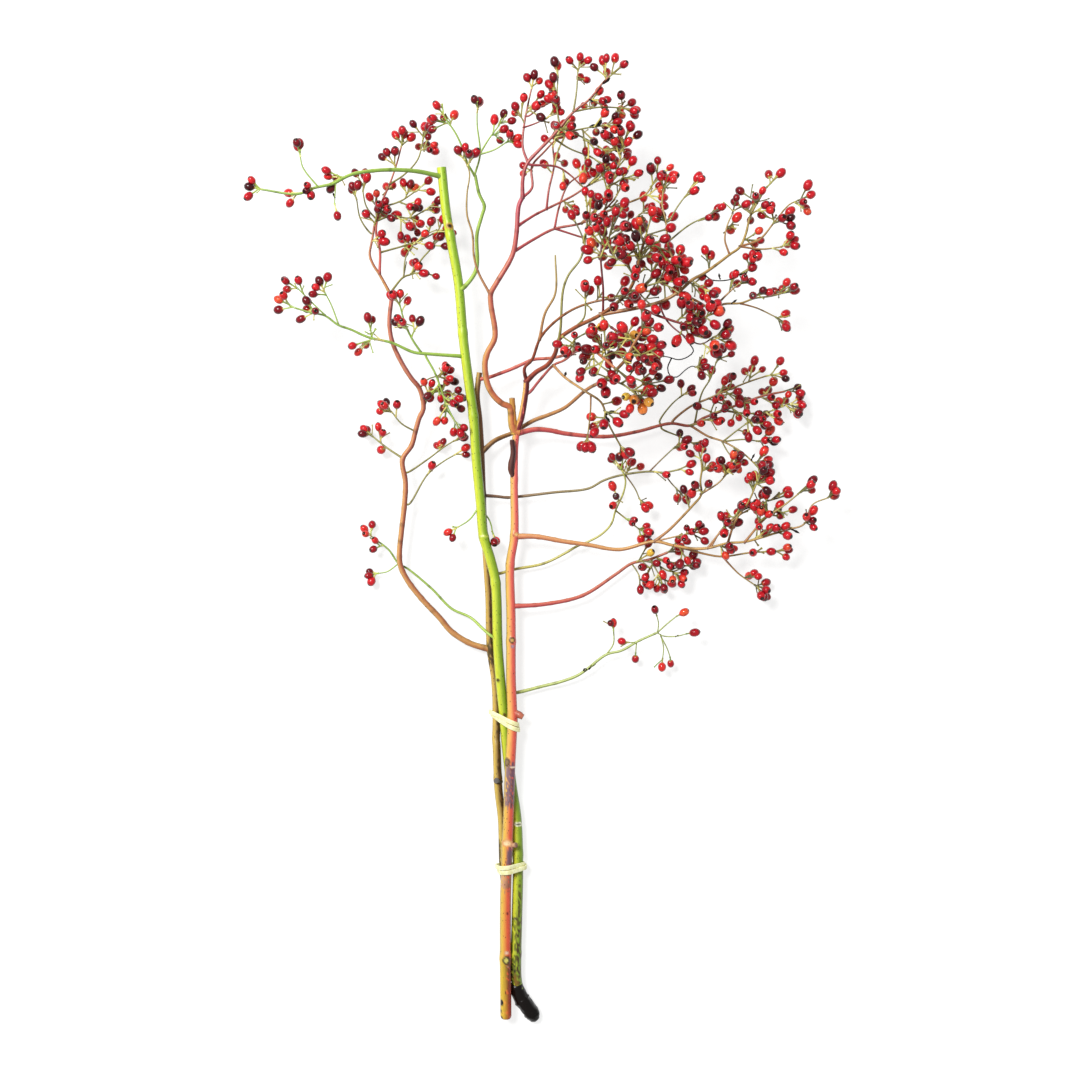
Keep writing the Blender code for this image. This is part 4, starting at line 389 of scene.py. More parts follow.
OLIVE_LIMBS: tuple[Limb, ...] = (
    Limb("main_cane", (3.6, 3.4, 3.2, 2.8, 2.2), 0, 0, 1, ((-34.8, -359.2, 4.3),
        (-34.8, -348.6, 4.3), (-34.8, -328.4, 4.3), (-33.9, -279.3, 6.3), (-36.3, -252.3, 7.9),
        (-37.5, -214.3, 7.8), (-40.3, -190, 8), (-41.9, -153.6, 8.9), (-42.3, -149.7, 8),
        (-42, -140, 7.5), (-42, -127.1, 7.2), (-42.3, -113.4, 7.3), (-43.4, -98.8, 7.8),
        (-45, -89, 8.6), (-46.7, -76.8, 9.5), (-47.5, -60.7, 10), (-47.9, -36.4, 11),
        (-49.9, -4.2, 12.5), (-52.2, 28, 13.5), (-52.9, 52, 16), (-53.7, 80, 18),
        (-55.2, 107.9, 20), (-57.1, 127.8, 21.5), (-55.1, 145.2, 22.5))),
    Limb("left_limb", (2.4, 2.1, 1.7), 0, 0, 1, ((-46.7, -76.8, 9.5), (-62.8, -71.9, 11),
        (-78.1, -62.2, 12), (-87.7, -50.9, 13), (-102.1, -35.5, 14), (-113.2, -21, 15),
        (-118.8, -9, 16), (-119.5, 0.7, 17), (-117.8, 18.3, 18), (-115.3, 39.9, 19),
        (-114.4, 57.5, 20), (-116.7, 75.8, 21), (-109.4, 87, 22), (-106.2, 98.1, 23),
        (-102.9, 109.2, 24), (-99.6, 116.3, 25), (-102.6, 131.9, 28), (-109, 140, 30),
        (-117, 153, 31), (-124, 169, 32), (-126, 184, 33), (-124, 204, 34))),
    Limb("left_limb_top", (1.3, 0.8), 5, 10, 0.6, ((-124.2, 204.1, 34), (-134, 222, 36),
        (-138, 228, 37), (-141, 236, 38), (-139, 248, 39), (-137, 260, 40))),
    Limb("crown_leader", (1.1, 0.6), 20, 11, 0.35, ((-133.5, 221.9, 36), (-133, 240, 38),
        (-136, 254, 39), (-135, 263, 40), (-131, 277, 42), (-125, 290, 44), (-119, 306, 46),
        (-115, 320, 48))),
    Limb("crown_right", (0.9, 0.6), 8, 9, 0.4, ((-125.5, 206.5, 34.3), (-115, 220, 31),
        (-108.1, 223.1, 29), (-101.1, 234.6, 27), (-93.2, 243.6, 26))),
    Limb("crown_right_up", (0.8, 0.5), 10, 9, 0.4, ((-132.7, 238.2, 37.8), (-115, 244, 34),
        (-102, 249, 31), (-91.4, 255.1, 28))),
    Limb("crown_top_right", (0.8, 0.5), 14, 10, 0.35, ((-134.7, 262.9, 40), (-124, 267, 38),
        (-110, 266, 35), (-99, 272, 32))),
    Limb("crown_left", (0.7, 0.5), 3, 9, 0.5, ((-138.1, 252.6, 39.4), (-140, 253, 39),
        (-148, 264, 41), (-151, 280, 42))),
    Limb("crown_left_up", (0.7, 0.5), 4, 9, 0.5, ((-134.7, 262.8, 40), (-143, 273, 43),
        (-146, 286, 44))),
    Limb("crown_high", (0.8, 0.5), 11, 10, 0.35, ((-124.9, 290.4, 44), (-113, 299, 42),
        (-103, 311, 40), (-99, 327, 38))),
    Limb("crown_spur", (0.5, 0.4), 1, 8, 0.6, ((-115, 219.6, 31), (-112.9, 232.9, 28))),
    Limb("crown_out", (0.5, 0.4), 1, 8, 0.6, ((-108.1, 223.1, 29), (-96.3, 223.5, 27))),
    Limb("left_spur", (0.9, 0.6), 6, 9, 0.4, ((-116.2, 76.6, 21.1), (-129.8, 85.6, 18),
        (-142, 95.4, 16))),
    Limb("right_spur", (0.8, 0.5), 6, 9, 0.4, ((-115.4, 65.2, 20.4), (-112.8, 65.5, 20),
        (-97, 76.1, 17), (-84.4, 85.9, 14), (-75.6, 91.6, 13))),
    Limb("right_spur_low", (0.8, 0.5), 4, 9, 0.5, ((-115.3, 40.1, 19), (-112.1, 39.9, 19),
        (-97.2, 64.2, 14), (-84.6, 74.8, 11), (-74.9, 80.5, 10))),
    Limb("cluster", (0.9, 0.6), 11, 10, 0.25, ((-99.6, 116.3, 25), (-94.9, 127.5, 24),
        (-87.1, 130.1, 22), (-77.6, 128.7, 20))),
    Limb("cluster_up", (0.7, 0.5), 7, 9, 0.3, ((-102.6, 131.9, 28), (-96.5, 139.5, 24),
        (-87.2, 143.1, 20))),
    Limb("cluster_left", (0.7, 0.5), 5, 9, 0.4, ((-106.2, 98.1, 23), (-117.1, 104.2, 26),
        (-124.8, 113.6, 28))),
    Limb("crossing_limb", (2.0, 1.4, 1.1), 13, 14, 0.68, ((-53.7, 81.6, 18), (-44.1, 90.6, 16),
        (-36.2, 94.8, 13), (-29.8, 97.3, 11.5), (-21.7, 102.1, 12), (-12, 107.3, 17),
        (0.8, 111.4, 26), (13, 116, 38), (29, 128, 56), (42, 134, 75), (56, 145, 100),
        (62, 155, 118), (67, 163, 130))),
    Limb("crossing_side", (0.9, 0.6), 11, 13, 0.3, ((41.7, 134.2, 75), (55, 130, 84),
        (67, 120, 92))),
    Limb("crossing_side_up", (0.9, 0.6), 8, 11, 0.3, ((47.1, 138.3, 84.6), (42, 153, 94),
        (38, 161, 100))),
    Limb("upper_crossing", (1.5, 1.2, 1.0), 13, 14, 0.72, ((-56.7, 139.7, 22), (-47.9, 141.1, 24),
        (-36.7, 145.1, 24), (-30.3, 147.5, 24), (-21.5, 151.3, 25), (-12, 155.3, 25),
        (-1.6, 156, 26), (9, 156, 40), (18, 157, 60), (31, 156, 85), (40, 147, 108),
        (48, 138, 120))),
    Limb("upper_crossing_end", (0.8, 0.6), 8, 13, 0.3, ((39.6, 147.1, 108), (51, 151, 112),
        (64, 148, 114))),
    Limb("thin_crossing", (1.3, 1.0, 0.7), 7, 11, 0.7, ((-52.1, 47.2, 16), (-41, 46.5, 13),
        (-33, 45.7, 12), (-23.3, 46.5, 12), (4, 49.7, 15), (32.1, 52.8, 18), (44, 59.1, 20),
        (56.7, 63, 22), (80.5, 66.1, 24), (91.6, 65.3, 25), (104.3, 67.6, 26))),
    Limb("thin_crossing_low", (0.6, 0.5), 3, 7, 0.6, ((61.4, 63.6, 22.4), (69.6, 51.9, 20),
        (72.9, 43.9, 19))),
    Limb("thin_crossing_drop", (0.6, 0.5), 3, 7, 0.6, ((91.6, 65.3, 25), (98.1, 56.6, 24),
        (104.5, 50.2, 23))),
    Limb("thin_crossing_rise", (0.6, 0.5), 4, 8, 0.5, ((80.5, 66.1, 24), (91.4, 77.1, 28),
        (101, 86, 30))),
    Limb("bark_knot", (2.6, 2.2), 0, 0, 1, ((-39.9, -183.4, 9), (-41.4, -182.5, 12.5),
        (-41.9, -181.8, 14.3))),
)


# Finer twigs that only the dressed canes carry.
RED_TWIGS: tuple[Limb, ...] = (
    Limb("dark_riser", (0.9, 0.7), 3, 14, 0.4, ((41.2, 184.8, 79), (41, 202, 86), (39, 225, 90),
        (40, 238, 90))),
    Limb("fan_low", (0.8, 0.7), 4, 21, 0, ((26.6, 239.6, 71), (27, 244, 74), (29, 247, 78))),
    Limb("fan_high", (0.8, 0.7), 4, 20, 0, ((38.8, 224.6, 90), (42, 232, 93), (45, 236, 96))),
    Limb("fan_fork", (0.8, 0.6), 4, 17, 0, ((31.7, 287.8, 55), (36, 290, 60), (40, 292, 64))),
    Limb("fan_shoulder", (0.8, 0.6), 4, 14, 0, ((48.2, 284.8, 68), (52, 286, 70), (55, 288, 72))),
    Limb("fan_back", (0.8, 0.6), 4, 20, 0, ((4.4, 300.6, 60), (6, 309, 60), (8, 315, 60))),
    Limb("top_left_twig", (0.7, 0.5), 5, 9, 0.5, ((-19.4, 326.7, 75), (-12, 330, 72),
        (-1, 335, 71))),
    Limb("top_left_twig_up", (0.7, 0.5), 5, 9, 0.5, ((-18, 335.4, 75.5), (-16, 335, 76),
        (-7, 342, 74), (0, 346, 73))),
    Limb("crown_fan", (0.8, 0.5), 5, 12, 0.4, ((8.8, 326.2, 77), (29, 319, 70), (39, 314, 66))),
    Limb("crown_fan_low", (0.8, 0.5), 4, 12, 0.4, ((5.1, 320.2, 65), (16, 314, 62),
        (33, 308, 60))),
    Limb("near_drop", (0.9, 0.6), 9, 12, 0.4, ((47.4, 172.7, 84), (61, 162, 92), (72, 153, 96))),
    Limb("inner_group", (0.7, 0.5), 5, 6, 0.2, ((107.7, 207.6, 88), (114, 203, 90),
        (118, 200, 90))),
    Limb("up_link", (0.6, 0.5), 3, 8, 0.5, ((92.1, 226.9, 94), (84, 231, 94), (74, 234, 95),
        (65, 233, 94))),
    Limb("plump_spur", (0.6, 0.5), 1, 4, 0.9, ((94.4, 220.7, 92.9), (97, 224, 94))),
    Limb("heart_g", (0.8, 0.6), 5, 10, 0.3, ((68.7, 187.8, 84), (77, 199, 88), (83, 211, 92))),
    Limb("dry_twig", (0.5, 0.4), 2, 7, 0.6, ((116.9, 213.1, 87), (124, 209, 82), (139, 210, 80),
        (147, 215, 80))),
    Limb("coral_cross", (0.7, 0.5), 5, 9, 0.5, ((140, 90.5, 18), (149.9, 98.4, 18),
        (158.5, 104.8, 19))),
    Limb("coral_slant", (0.7, 0.5), 6, 9, 0.5, ((127.9, 124.6, 21), (146.8, 116.4, 23),
        (158.5, 107.5, 25))),
    Limb("coral_drop", (0.6, 0.5), 3, 8, 0.5, ((138.8, 90.9, 17.8), (143.3, 82.4, 19),
        (148, 75.9, 20))),
    Limb("lower_mid", (0.8, 0.5), 8, 10, 0.35, ((128.5, 5.4, 30.3), (137, 20, 33), (147, 30, 36))),
    Limb("lower_inner", (0.8, 0.5), 10, 9, 0.2, ((84.5, 10.3, 24), (97.8, 13.5, 27),
        (111.9, 16.7, 29))),
    Limb("foot_fan", (0.8, 0.5), 8, 9, 0.3, ((81.6, -4.2, 9), (86.3, -11.5, 11),
        (89.4, -17.1, 12))),
    Limb("foot_fan_left", (0.6, 0.5), 2, 8, 0.4, ((67.1, -7.5, 9), (71, -13.1, 10),
        (73.4, -17.9, 11))),
    Limb("plump_group", (0.8, 0.6), 4, 5, 0.5, ((105.9, 195.9, 84.1), (108, 193, 90),
        (110, 185, 100), (112, 181, 106))),
)

GREEN_TWIGS: tuple[Limb, ...] = (
    Limb("left_reach_tip", (0.6, 0.5), 4, 9, 0.5, ((-173.7, 186.1, 54), (-186, 198, 56),
        (-195, 207, 58))),
    Limb("left_reach_spur", (0.6, 0.5), 4, 9, 0.5, ((-163.8, 179.4, 52), (-169, 194, 54),
        (-174, 204, 56))),
)

OLIVE_TWIGS: tuple[Limb, ...] = (
    Limb("crown_arm", (0.8, 0.5), 7, 10, 0.4, ((-132.2, 273, 41), (-117, 278, 40),
        (-104, 287, 38))),
    Limb("crown_arm_low", (0.6, 0.5), 5, 9, 0.4, ((-115, 219.6, 31), (-113, 236, 32),
        (-106, 247, 33))),
    Limb("near_bundle", (0.9, 0.6), 9, 14, 0.3, ((30.7, 155.8, 85), (47, 158, 92), (63, 162, 97))),
    Limb("bottom_fan", (0.8, 0.6), 7, 11, 0.2, ((55, 130.2, 84), (62, 134, 88), (71, 131, 90))),
    Limb("star", (1.0, 0.8), 7, 14, 0.7, ((18.4, 157.4, 60), (19, 159, 85), (19, 159, 105))),
)


# Hips that carry the crown: they hang from the end of a limb and touch the floor there.
REST_HIPS = {"left_spur": (-148.8, 98.5), "coral_fill": (203.2, 117.5)}

CANES = {"red_cane": RED_LIMBS, "green_cane": GREEN_LIMBS, "olive_cane": OLIVE_LIMBS}
TWIGS = {"red_cane": RED_TWIGS, "green_cane": GREEN_TWIGS, "olive_cane": OLIVE_TWIGS}

BANDS = (
    Band("upper_band", -134.2, -33.3, -0.5, 2.1, 1.6),
    Band("lower_band", -252.0, -29.8, 0.12, 1.95, 1.9),
)


def girth_at(limb: Limb, share: float) -> float:
    """Give the radius of a limb at a share of its route."""
    stops = np.linspace(0.0, 1.0, len(limb.girth))
    return float(np.interp(share, stops, limb.girth))


def run_lengths(line: np.ndarray) -> np.ndarray:
    """Give the length run at each point of a line."""
    return np.concatenate(([0.0], np.cumsum(np.linalg.norm(np.diff(line, axis=0), axis=1))))


def route_shares(route: Sequence[Sequence[float]]) -> np.ndarray:
    """Give the share of the whole length at each point of a route."""
    steps = np.linalg.norm(np.diff(np.array(route), axis=0), axis=1)
    return np.concatenate(([0.0], np.cumsum(steps))) / steps.sum()


def along(limb: Limb, share: float) -> tuple[Vector, Vector]:
    """Find a place on a limb.

    Args:
        limb: The limb to walk along.
        share: How far along its route, from 0 to 1.

    Returns:
        The point there and the limb's direction.
    """
    points = np.array(limb.route)
    shares = route_shares(limb.route)
    index = min(int(np.searchsorted(shares, share, side="right")), len(points) - 1)
    place = [np.interp(share, shares, points[:, i]) for i in range(3)]
    heading = Vector(points[index] - points[index - 1])
    return Vector(place), heading.normalized()


def lean_away(heading: Vector, lean: float, turn: float) -> Vector:
    """Give a direction that leans off a heading, turned about it."""
    side = heading.orthogonal().normalized()
    side.rotate(Matrix.Rotation(turn, 3, heading))
    return (heading * math.cos(lean) + side * math.sin(lean)).normalized()


class Rods:
    """The round-ended rods that stand for a cane when its clearance is tested."""

    def __init__(self) -> None:
        """Start with no rods."""
        self.rows = np.empty((0, 7))

    def add(self, start: Sequence[float], end: Sequence[float], radius: float) -> None:
        """Add one rod between two points."""
        self.rows = np.vstack((self.rows, (*start, *end, radius)))

    def nearest(self, points: Sequence[Vector], radius: float) -> float:
        """Measure the clearance of some balls.

        Args:
            points: The balls' centres.
            radius: Their one radius.

        Returns:
            The least gap between a ball and a rod.
        """
        if not len(self.rows):
            return math.inf
        start, thick = self.rows[:, 0:3], self.rows[:, 6]
        run = self.rows[:, 3:6] - start
        square = np.maximum((run * run).sum(axis=1), 1e-9)
        least = math.inf
        for point in points:
            offset = np.array(point) - start
            share = np.clip((offset * run).sum(axis=1) / square, 0.0, 1.0)
            gaps = np.linalg.norm(offset - run * share[:, None], axis=1) - thick
            least = min(least, float(gaps.min()) - radius)
        return least


class Crown:
    """Sets out the hips of all the canes, clear of each other."""

    def __init__(self) -> None:
        """Take the limbs of every cane as rods."""
        self.draw = random.Random(SEED)
        self.rods = {name: Rods() for name in CANES}
        self.berries = {name: Rods() for name in CANES}
        self.hips: dict[str, list[Hip]] = {name: [] for name in CANES}
        self.turn = 0.0
        self.mark(CANES)

    def mark(self, canes: dict[str, tuple[Limb, ...]]) -> None:
        """Add the rods of some limbs."""
        for name, limbs in canes.items():
            for limb in limbs:
                shares = route_shares(limb.route)
                for i in range(len(limb.route) - 1):
                    thick = girth_at(limb, shares[i])
                    self.rods[name].add(limb.route[i], limb.route[i + 1], thick)

    def grow(self) -> None:
        """Set out every limb's hips: those that carry the bundle first, the finest twigs' last."""
        for name, limbs in CANES.items():
            for limb in limbs:
                if limb.name in REST_HIPS:
                    self.rest_hip(name, limb)
        for canes in (CANES, TWIGS):
            if canes is TWIGS:
                self.mark(TWIGS)
            for name, limbs in canes.items():
                for limb in limbs:
                    self.dress(name, limb)

    def rest_hip(self, cane: str, limb: Limb) -> None:
        """Hang one hip from the limb's end so that it touches the floor."""
        radius = HIP_RADIUS[1]
        stretch = HIP_STRETCH[0]
        x, y = REST_HIPS[limb.name]
        centre = Vector((x, y, radius * stretch))
        down = Vector((0.0, 0.0, -1.0))
        root, heading = along(limb, 1.0)
        root -= heading * ROOT_SINK
        self.keep(cane, [Hip(root, centre, down, radius, stretch, limb.name, True)])

    def dress(self, cane: str, limb: Limb) -> None:
        """Set out one limb's hips: a spray at its end, the rest up its outer part."""
        left = limb.hips
        place = 1.0
        while left > 0:
            size = min(left, self.draw.choice(SPRAY_SIZES))
            if not self.spray(cane, limb, place, size):
                self.spray(cane, limb, place, 1)
            left -= size
            place = limb.bare + (0.97 - limb.bare) * self.draw.random()

    def spray(self, cane: str, limb: Limb, place: float, size: int) -> bool:
        """Try to set one spray of hips on a limb.

        Args:
            cane: The cane that the limb belongs to.
            limb: The limb.
            place: Share of its route where the spray leaves it.
            size: Number of hips in the spray.

        Returns:
            Whether a clear place was found.
        """
        for attempt in range(TRIES):
            self.turn += GOLDEN_ANGLE
            hips = self.shape_spray(limb, place, size)
            if all(self.clear(cane, hip) for hip in hips):
                self.keep(cane, hips)
                return True
            if attempt % 10 == 9 and place < 1.0:
                place = min(0.98, max(limb.bare, place + self.draw.uniform(-0.15, 0.15)))
        return False

    def shape_spray(self, limb: Limb, place: float, size: int) -> list[Hip]:
        """Draw one stalk with a hip at its end, and side stalks with the others."""
        root, heading = along(limb, place)
        draw = self.draw
        if place == 1.0:
            root -= heading * ROOT_SINK
            lean = math.radians(draw.uniform(4.0, 22.0))
        else:
            lean = math.radians(draw.uniform(35.0, 68.0))
        outward = lean_away(heading, lean, self.turn)
        reach = limb.reach * draw.uniform(0.75, 1.3)
        leads = place == 1.0 or draw.random() < LEADING_SHARE
        hips = [self.hang(root, outward, reach, limb, leads)]
        for index in range(1, size):
            fork = root + outward * reach * draw.uniform(0.1, 0.45)
            turn = self.turn + index * GOLDEN_ANGLE
            side = lean_away(outward, math.radians(draw.uniform(28.0, 60.0)), turn)
            hips.append(self.hang(fork, side, reach * draw.uniform(0.65, 1.05), limb, False))
        return hips

    def hang(self, root: Vector, outward: Vector, reach: float, limb: Limb, leads: bool) -> Hip:
        """Draw a hip whose stalk runs straight out from its root."""
        radius = self.draw.triangular(*HIP_RADIUS)
        if limb.name.startswith(PLUMP_LIMBS):
            radius *= PLUMPNESS
        stretch = self.draw.uniform(*HIP_STRETCH)
        centre = root + outward * (reach + radius * stretch * 0.5)
        return Hip(root, centre, outward, radius, stretch, limb.name, leads)

    def clear(self, cane: str, hip: Hip) -> bool:
        """Tell whether a hip and its stalk miss the floor, the other canes and hips."""
        half = hip.radius * hip.stretch
        if hip.centre.z < half + FLOOR_GAP or hip.centre.z > HIGHEST:
            return False
        off = half - hip.radius
        body = [hip.centre - hip.axis * off, hip.centre + hip.axis * off]
        stalk = [hip.root.lerp(hip.centre, share) for share in (0.0, 0.3, 0.6, 0.8)]
        for name in CANES:
            if name != cane:
                for rods in (self.rods[name], self.berries[name]):
                    if rods.nearest(body, hip.radius) < CLEARANCE:
                        return False
                    if rods.nearest(stalk, STALK_RADIUS) < CLEARANCE:
                        return False
        if self.rods[cane].nearest([hip.centre], hip.radius) < -0.15 * hip.radius:
            return False
        return self.berries[cane].nearest([hip.centre], hip.radius) > BERRY_GAP

    def keep(self, cane: str, hips: list[Hip]) -> None:
        """Take a spray into the crown."""
        for hip in hips:
            off = hip.radius * (hip.stretch - 1.0)
            ends = (hip.centre - hip.axis * off, hip.centre + hip.axis * off)
            self.berries[cane].add(*ends, hip.radius)
            self.hips[cane].append(hip)
        for hip in hips:
            neck = hip.root.lerp(hip.centre, 0.7)
            self.rods[cane].add(hip.root, neck, STALK_RADIUS)


# ---------------------------------------------------------------- finishes
def linear(hex_colour: str) -> tuple[float, float, float]:
    """Turn an sRGB hex colour such as '#C8202A' to linear red, green and blue."""
    values = [int(hex_colour[i : i + 2], 16) / 255.0 for i in (1, 3, 5)]
    steps = [v / 12.92 if v <= 0.04045 else ((v + 0.055) / 1.055) ** 2.4 for v in values]
    return steps[0], steps[1], steps[2]


def rgba(hex_colour: str) -> tuple[float, float, float, float]:
    """Turn an sRGB hex colour to a linear socket colour."""
    return (*linear(hex_colour), 1.0)


class Shading:
    """A material's node tree, built one node at a time."""

    def __init__(self, name: str) -> None:
        """Start a material whose Principled shader feeds the output."""
        self.material = bpy.data.materials.new(name)
        self.material.use_nodes = True
        self.tree = self.material.node_tree
        self.shader = self.tree.nodes["Principled BSDF"]

    def node(self, kind: str, settings: dict | None = None, **sockets: object) -> bpy.types.Node:
        """Add one node.

        Args:
            kind: The node's type, such as 'ShaderNodeTexNoise'.
            settings: Its properties by name.
            sockets: Its inputs by name, with _ for a space: a value, or an output to link.

        Returns:
            The new node.
        """
        made = self.tree.nodes.new(kind)
        for key, value in (settings or {}).items():
            setattr(made, key, value)
        for key, value in sockets.items():
            self.feed(made, key.replace("_", " "), value)
        return made

    def attribute(self, name: str) -> bpy.types.Node:
        """Read what each vertex carries under a name."""
        return self.node("ShaderNodeAttribute", {"attribute_name": name})

    def noise(self, place: Socket, **sockets: float) -> Socket:
        """Make clouds, from 0 to 1, over a place."""
        return self.node("ShaderNodeTexNoise", None, Vector=place, **sockets).outputs["Fac"]

    def stretch(self, grain: Socket, pace: float) -> Socket:
        """Draw marks out along a stem: the smaller the pace, the longer they are."""
        made = self.node("ShaderNodeMapping", None, Vector=grain, Scale=(1.0, 1.0, pace))
        return made.outputs[0]

    def spread(self, value: Socket, low: float, high: float,
               full: float = 1.0) -> Socket:
        """Map a value that runs from 0 to full to a range."""
        made = self.node("ShaderNodeMapRange", None, Value=value, From_Max=full, To_Min=low,
                         To_Max=high)
        return made.outputs[0]

    def bump(self, height: Socket, strength: float,
             depth: float) -> Socket:
        """Raise the surface by a height, to a depth in metres."""
        made = self.node("ShaderNodeBump", None, Strength=strength, Distance=depth, Height=height)
        return made.outputs[0]

    def feed(self, node: bpy.types.Node, key: str, value: object) -> None:
        """Set or link one input of a node, named or numbered as in 'n6'."""
        named = not (key[0] == "n" and key[1:].isdigit())
        socket = node.inputs[key] if named else node.inputs[int(key[1:])]
        if isinstance(value, Socket):
            self.tree.links.new(value, socket)
        else:
            socket.default_value = value

    def mix(self, how: str, share: object, first: object, second: object) -> Socket:
        """Blend two colours, and give the result's socket."""
        settings = {"data_type": "RGBA", "blend_type": how}
        return self.node("ShaderNodeMix", settings, n0=share, n6=first, n7=second).outputs[2]

    def ramp(self, share: object, stops: Sequence[tuple[float, tuple]]) -> Socket:
        """Map a value to colours, given as (place, colour) stops."""
        made = self.node("ShaderNodeValToRGB", None, Fac=share)
        elements = made.color_ramp.elements
        while len(elements) < len(stops):
            elements.new(0.5)
        for element, (place, colour) in zip(elements, stops):
            element.position = place
            element.color = colour
        return made.outputs[0]

    def finish(self, **sockets: object) -> Material:
        """Set the shader's own sockets and give the material."""
        for key, value in sockets.items():
            self.feed(self.shader, key.replace("_", " "), value)
        return self.material


@dataclass(frozen=True)
class Bark:
    """Living bark of a first-year rose cane: smooth, waxy, streaked along, dotted with pores."""

    WET = 0.08      # pore strength under which the wood counts as wet

    name: str
    streak: float       # how strongly the streaks lighten and darken
    pore: str           # colour of the pores and scars
    roughness: float
    coat: float         # of the wax

    def dress(self) -> Material:
        """Build the bark over the colour and grain that each stem carries.

        Returns:
            The material.
        """
        s = Shading(self.name)
        tint = s.attribute("tint")
        strength = tint.outputs["Alpha"]
        grain = s.attribute("grain").outputs["Vector"]
        # Fibres about 0.7 mm apart, drawn out eight times along the stem.
        fibre = s.noise(s.stretch(grain, 0.12), Scale=1.4, Detail=3.0, Roughness=0.6)
        shade = s.ramp(fibre, (
            (0.30, (1.0 - self.streak,) * 3 + (1.0,)),
            (0.52, WHITE),
            (0.72, (1.0 + 0.55 * self.streak,) * 3 + (1.0,)),
        ))
        streaked = s.mix("MULTIPLY", 1.0, tint.outputs["Color"], shade)
        # Pores: dark flecks a few tenths of a millimetre wide, some 4 mm apart.
        cells = s.node("ShaderNodeTexVoronoi", {"feature": "F1"}, Vector=s.stretch(grain, 0.6),
                       Scale=0.42, Randomness=1.0)
        fleck = s.ramp(cells.outputs["Distance"], ((0.10, WHITE), (0.19, BLACK)))
        much = s.node("ShaderNodeMath", {"operation": "MULTIPLY"}, n0=fleck, n1=strength)
        coloured = s.mix("MIX", much.outputs[0], streaked, rgba(self.pore))
        # Wet black wood has no pores, and shines.
        return s.finish(Base_Color=coloured,
                        Roughness=s.spread(strength, 0.2, self.roughness, self.WET),
                        Specular_IOR_Level=s.spread(strength, 0.12, 0.5, self.WET),
                        Coat_Weight=self.coat, Coat_Roughness=0.25,
                        Normal=s.bump(fibre, 0.25, 0.0003))


@dataclass(frozen=True)
class HipSkin:
    """Skin of a ripe rose hip: thin wax over red flesh, so it is glossy and deep in colour."""

    # From a hip turned nearly black to one that is still yellow.
    RIPENING = (
        (0.00, "#2E040C"), (0.20, "#6E0818"), (0.42, "#B00E20"), (0.62, "#D01A26"),
        (0.82, "#E2342C"), (0.93, "#EA5A34"), (1.00, "#E9C64A"),
    )
    DRIED = "#1C0A06"

    name: str

    def dress(self) -> Material:
        """Build the skin over each hip's ripeness, which holds its painted shade, and place along
        its length.

        Returns:
            The material.
        """
        s = Shading(self.name)
        berry = s.attribute("berry")
        parts = s.node("ShaderNodeSeparateColor", None, Color=berry.outputs["Color"])
        ripe, length, own = parts.outputs[0], parts.outputs[1], parts.outputs[2]
        skin = s.ramp(ripe, [(at, rgba(colour)) for at, colour in self.RIPENING])
        place = s.node("ShaderNodeTexCoord").outputs["Object"]
        # Blotches about 2 mm wide, as where one cheek saw more sun.
        blotch = s.noise(place, Scale=520.0, Detail=2.0)
        cheek = s.ramp(blotch, ((0.36, (0.62, 0.55, 0.55, 1.0)), (0.60, (1.12, 1.05, 1.0, 1.0))))
        mottled = s.mix("MULTIPLY", 0.75, skin, cheek)
        neck = s.ramp(length, ((0.0, WHITE), (0.16, BLACK)))
        necked = s.mix("MIX", neck, mottled, rgba("#C2542C"))
        # The dried ring at the tip is black, with a corky heart that shows pale in some.
        cork = s.ramp(own, ((0.5, rgba(self.DRIED)), (0.62, rgba("#D8C4B0"))))
        heart = s.ramp(length, ((0.985, BLACK), (1.0, WHITE)))
        ring = s.mix("MIX", heart, rgba(self.DRIED), cork)
        scar = s.ramp(length, ((0.90, BLACK), (0.94, WHITE)))
        return s.finish(Base_Color=s.mix("MIX", scar, necked, ring),
                        Roughness=s.spread(own, 0.14, 0.34), IOR=1.38, Coat_Weight=0.25,
                        Coat_Roughness=0.06, Normal=s.bump(blotch, 0.12, 0.0002))


@dataclass(frozen=True)
class Latex:
    """Uncoloured natural rubber, extruded and cut: creamy, a little see-through, faintly dusty."""

    name: str
    colour: str
    shade: str

    def dress(self) -> Material:
        """Build the rubber with its faint clouding.

        Returns:
            The material.
        """
        s = Shading(self.name)
        place = s.node("ShaderNodeTexCoord").outputs["Object"]
        # Clouding about 3 mm across, from the talc that keeps bands from sticking.
        cloud = s.noise(place, Scale=340.0, Detail=4.0)
        coloured = s.ramp(cloud, ((0.35, rgba(self.shade)), (0.6, rgba(self.colour))))
        return s.finish(Base_Color=coloured, Roughness=0.55, Subsurface_Weight=0.15,
                        Subsurface_Radius=(0.002, 0.0018, 0.001),
                        Normal=s.bump(cloud, 0.15, 0.0002))


@dataclass(frozen=True)
class Plain:
    """A dull even surface with fine clouding, such as a dried leaf or a paper floor."""

    name: str
    colour: str
    shade: str
    grain: float            # size of its clouds (mm)
    roughness: float
    glow: float = 0.0       # light that it sends out by itself

    def dress(self) -> Material:
        """Build the surface.

        Returns:
            The material.
        """
        s = Shading(self.name)
        place = s.node("ShaderNodeTexCoord").outputs["Object"]
        cloud = s.noise(place, Scale=1000.0 / self.grain)
        coloured = s.ramp(cloud, ((0.3, rgba(self.shade)), (0.7, rgba(self.colour))))
        return s.finish(Base_Color=coloured, Roughness=self.roughness, Emission_Color=WHITE,
                        Emission_Strength=self.glow)


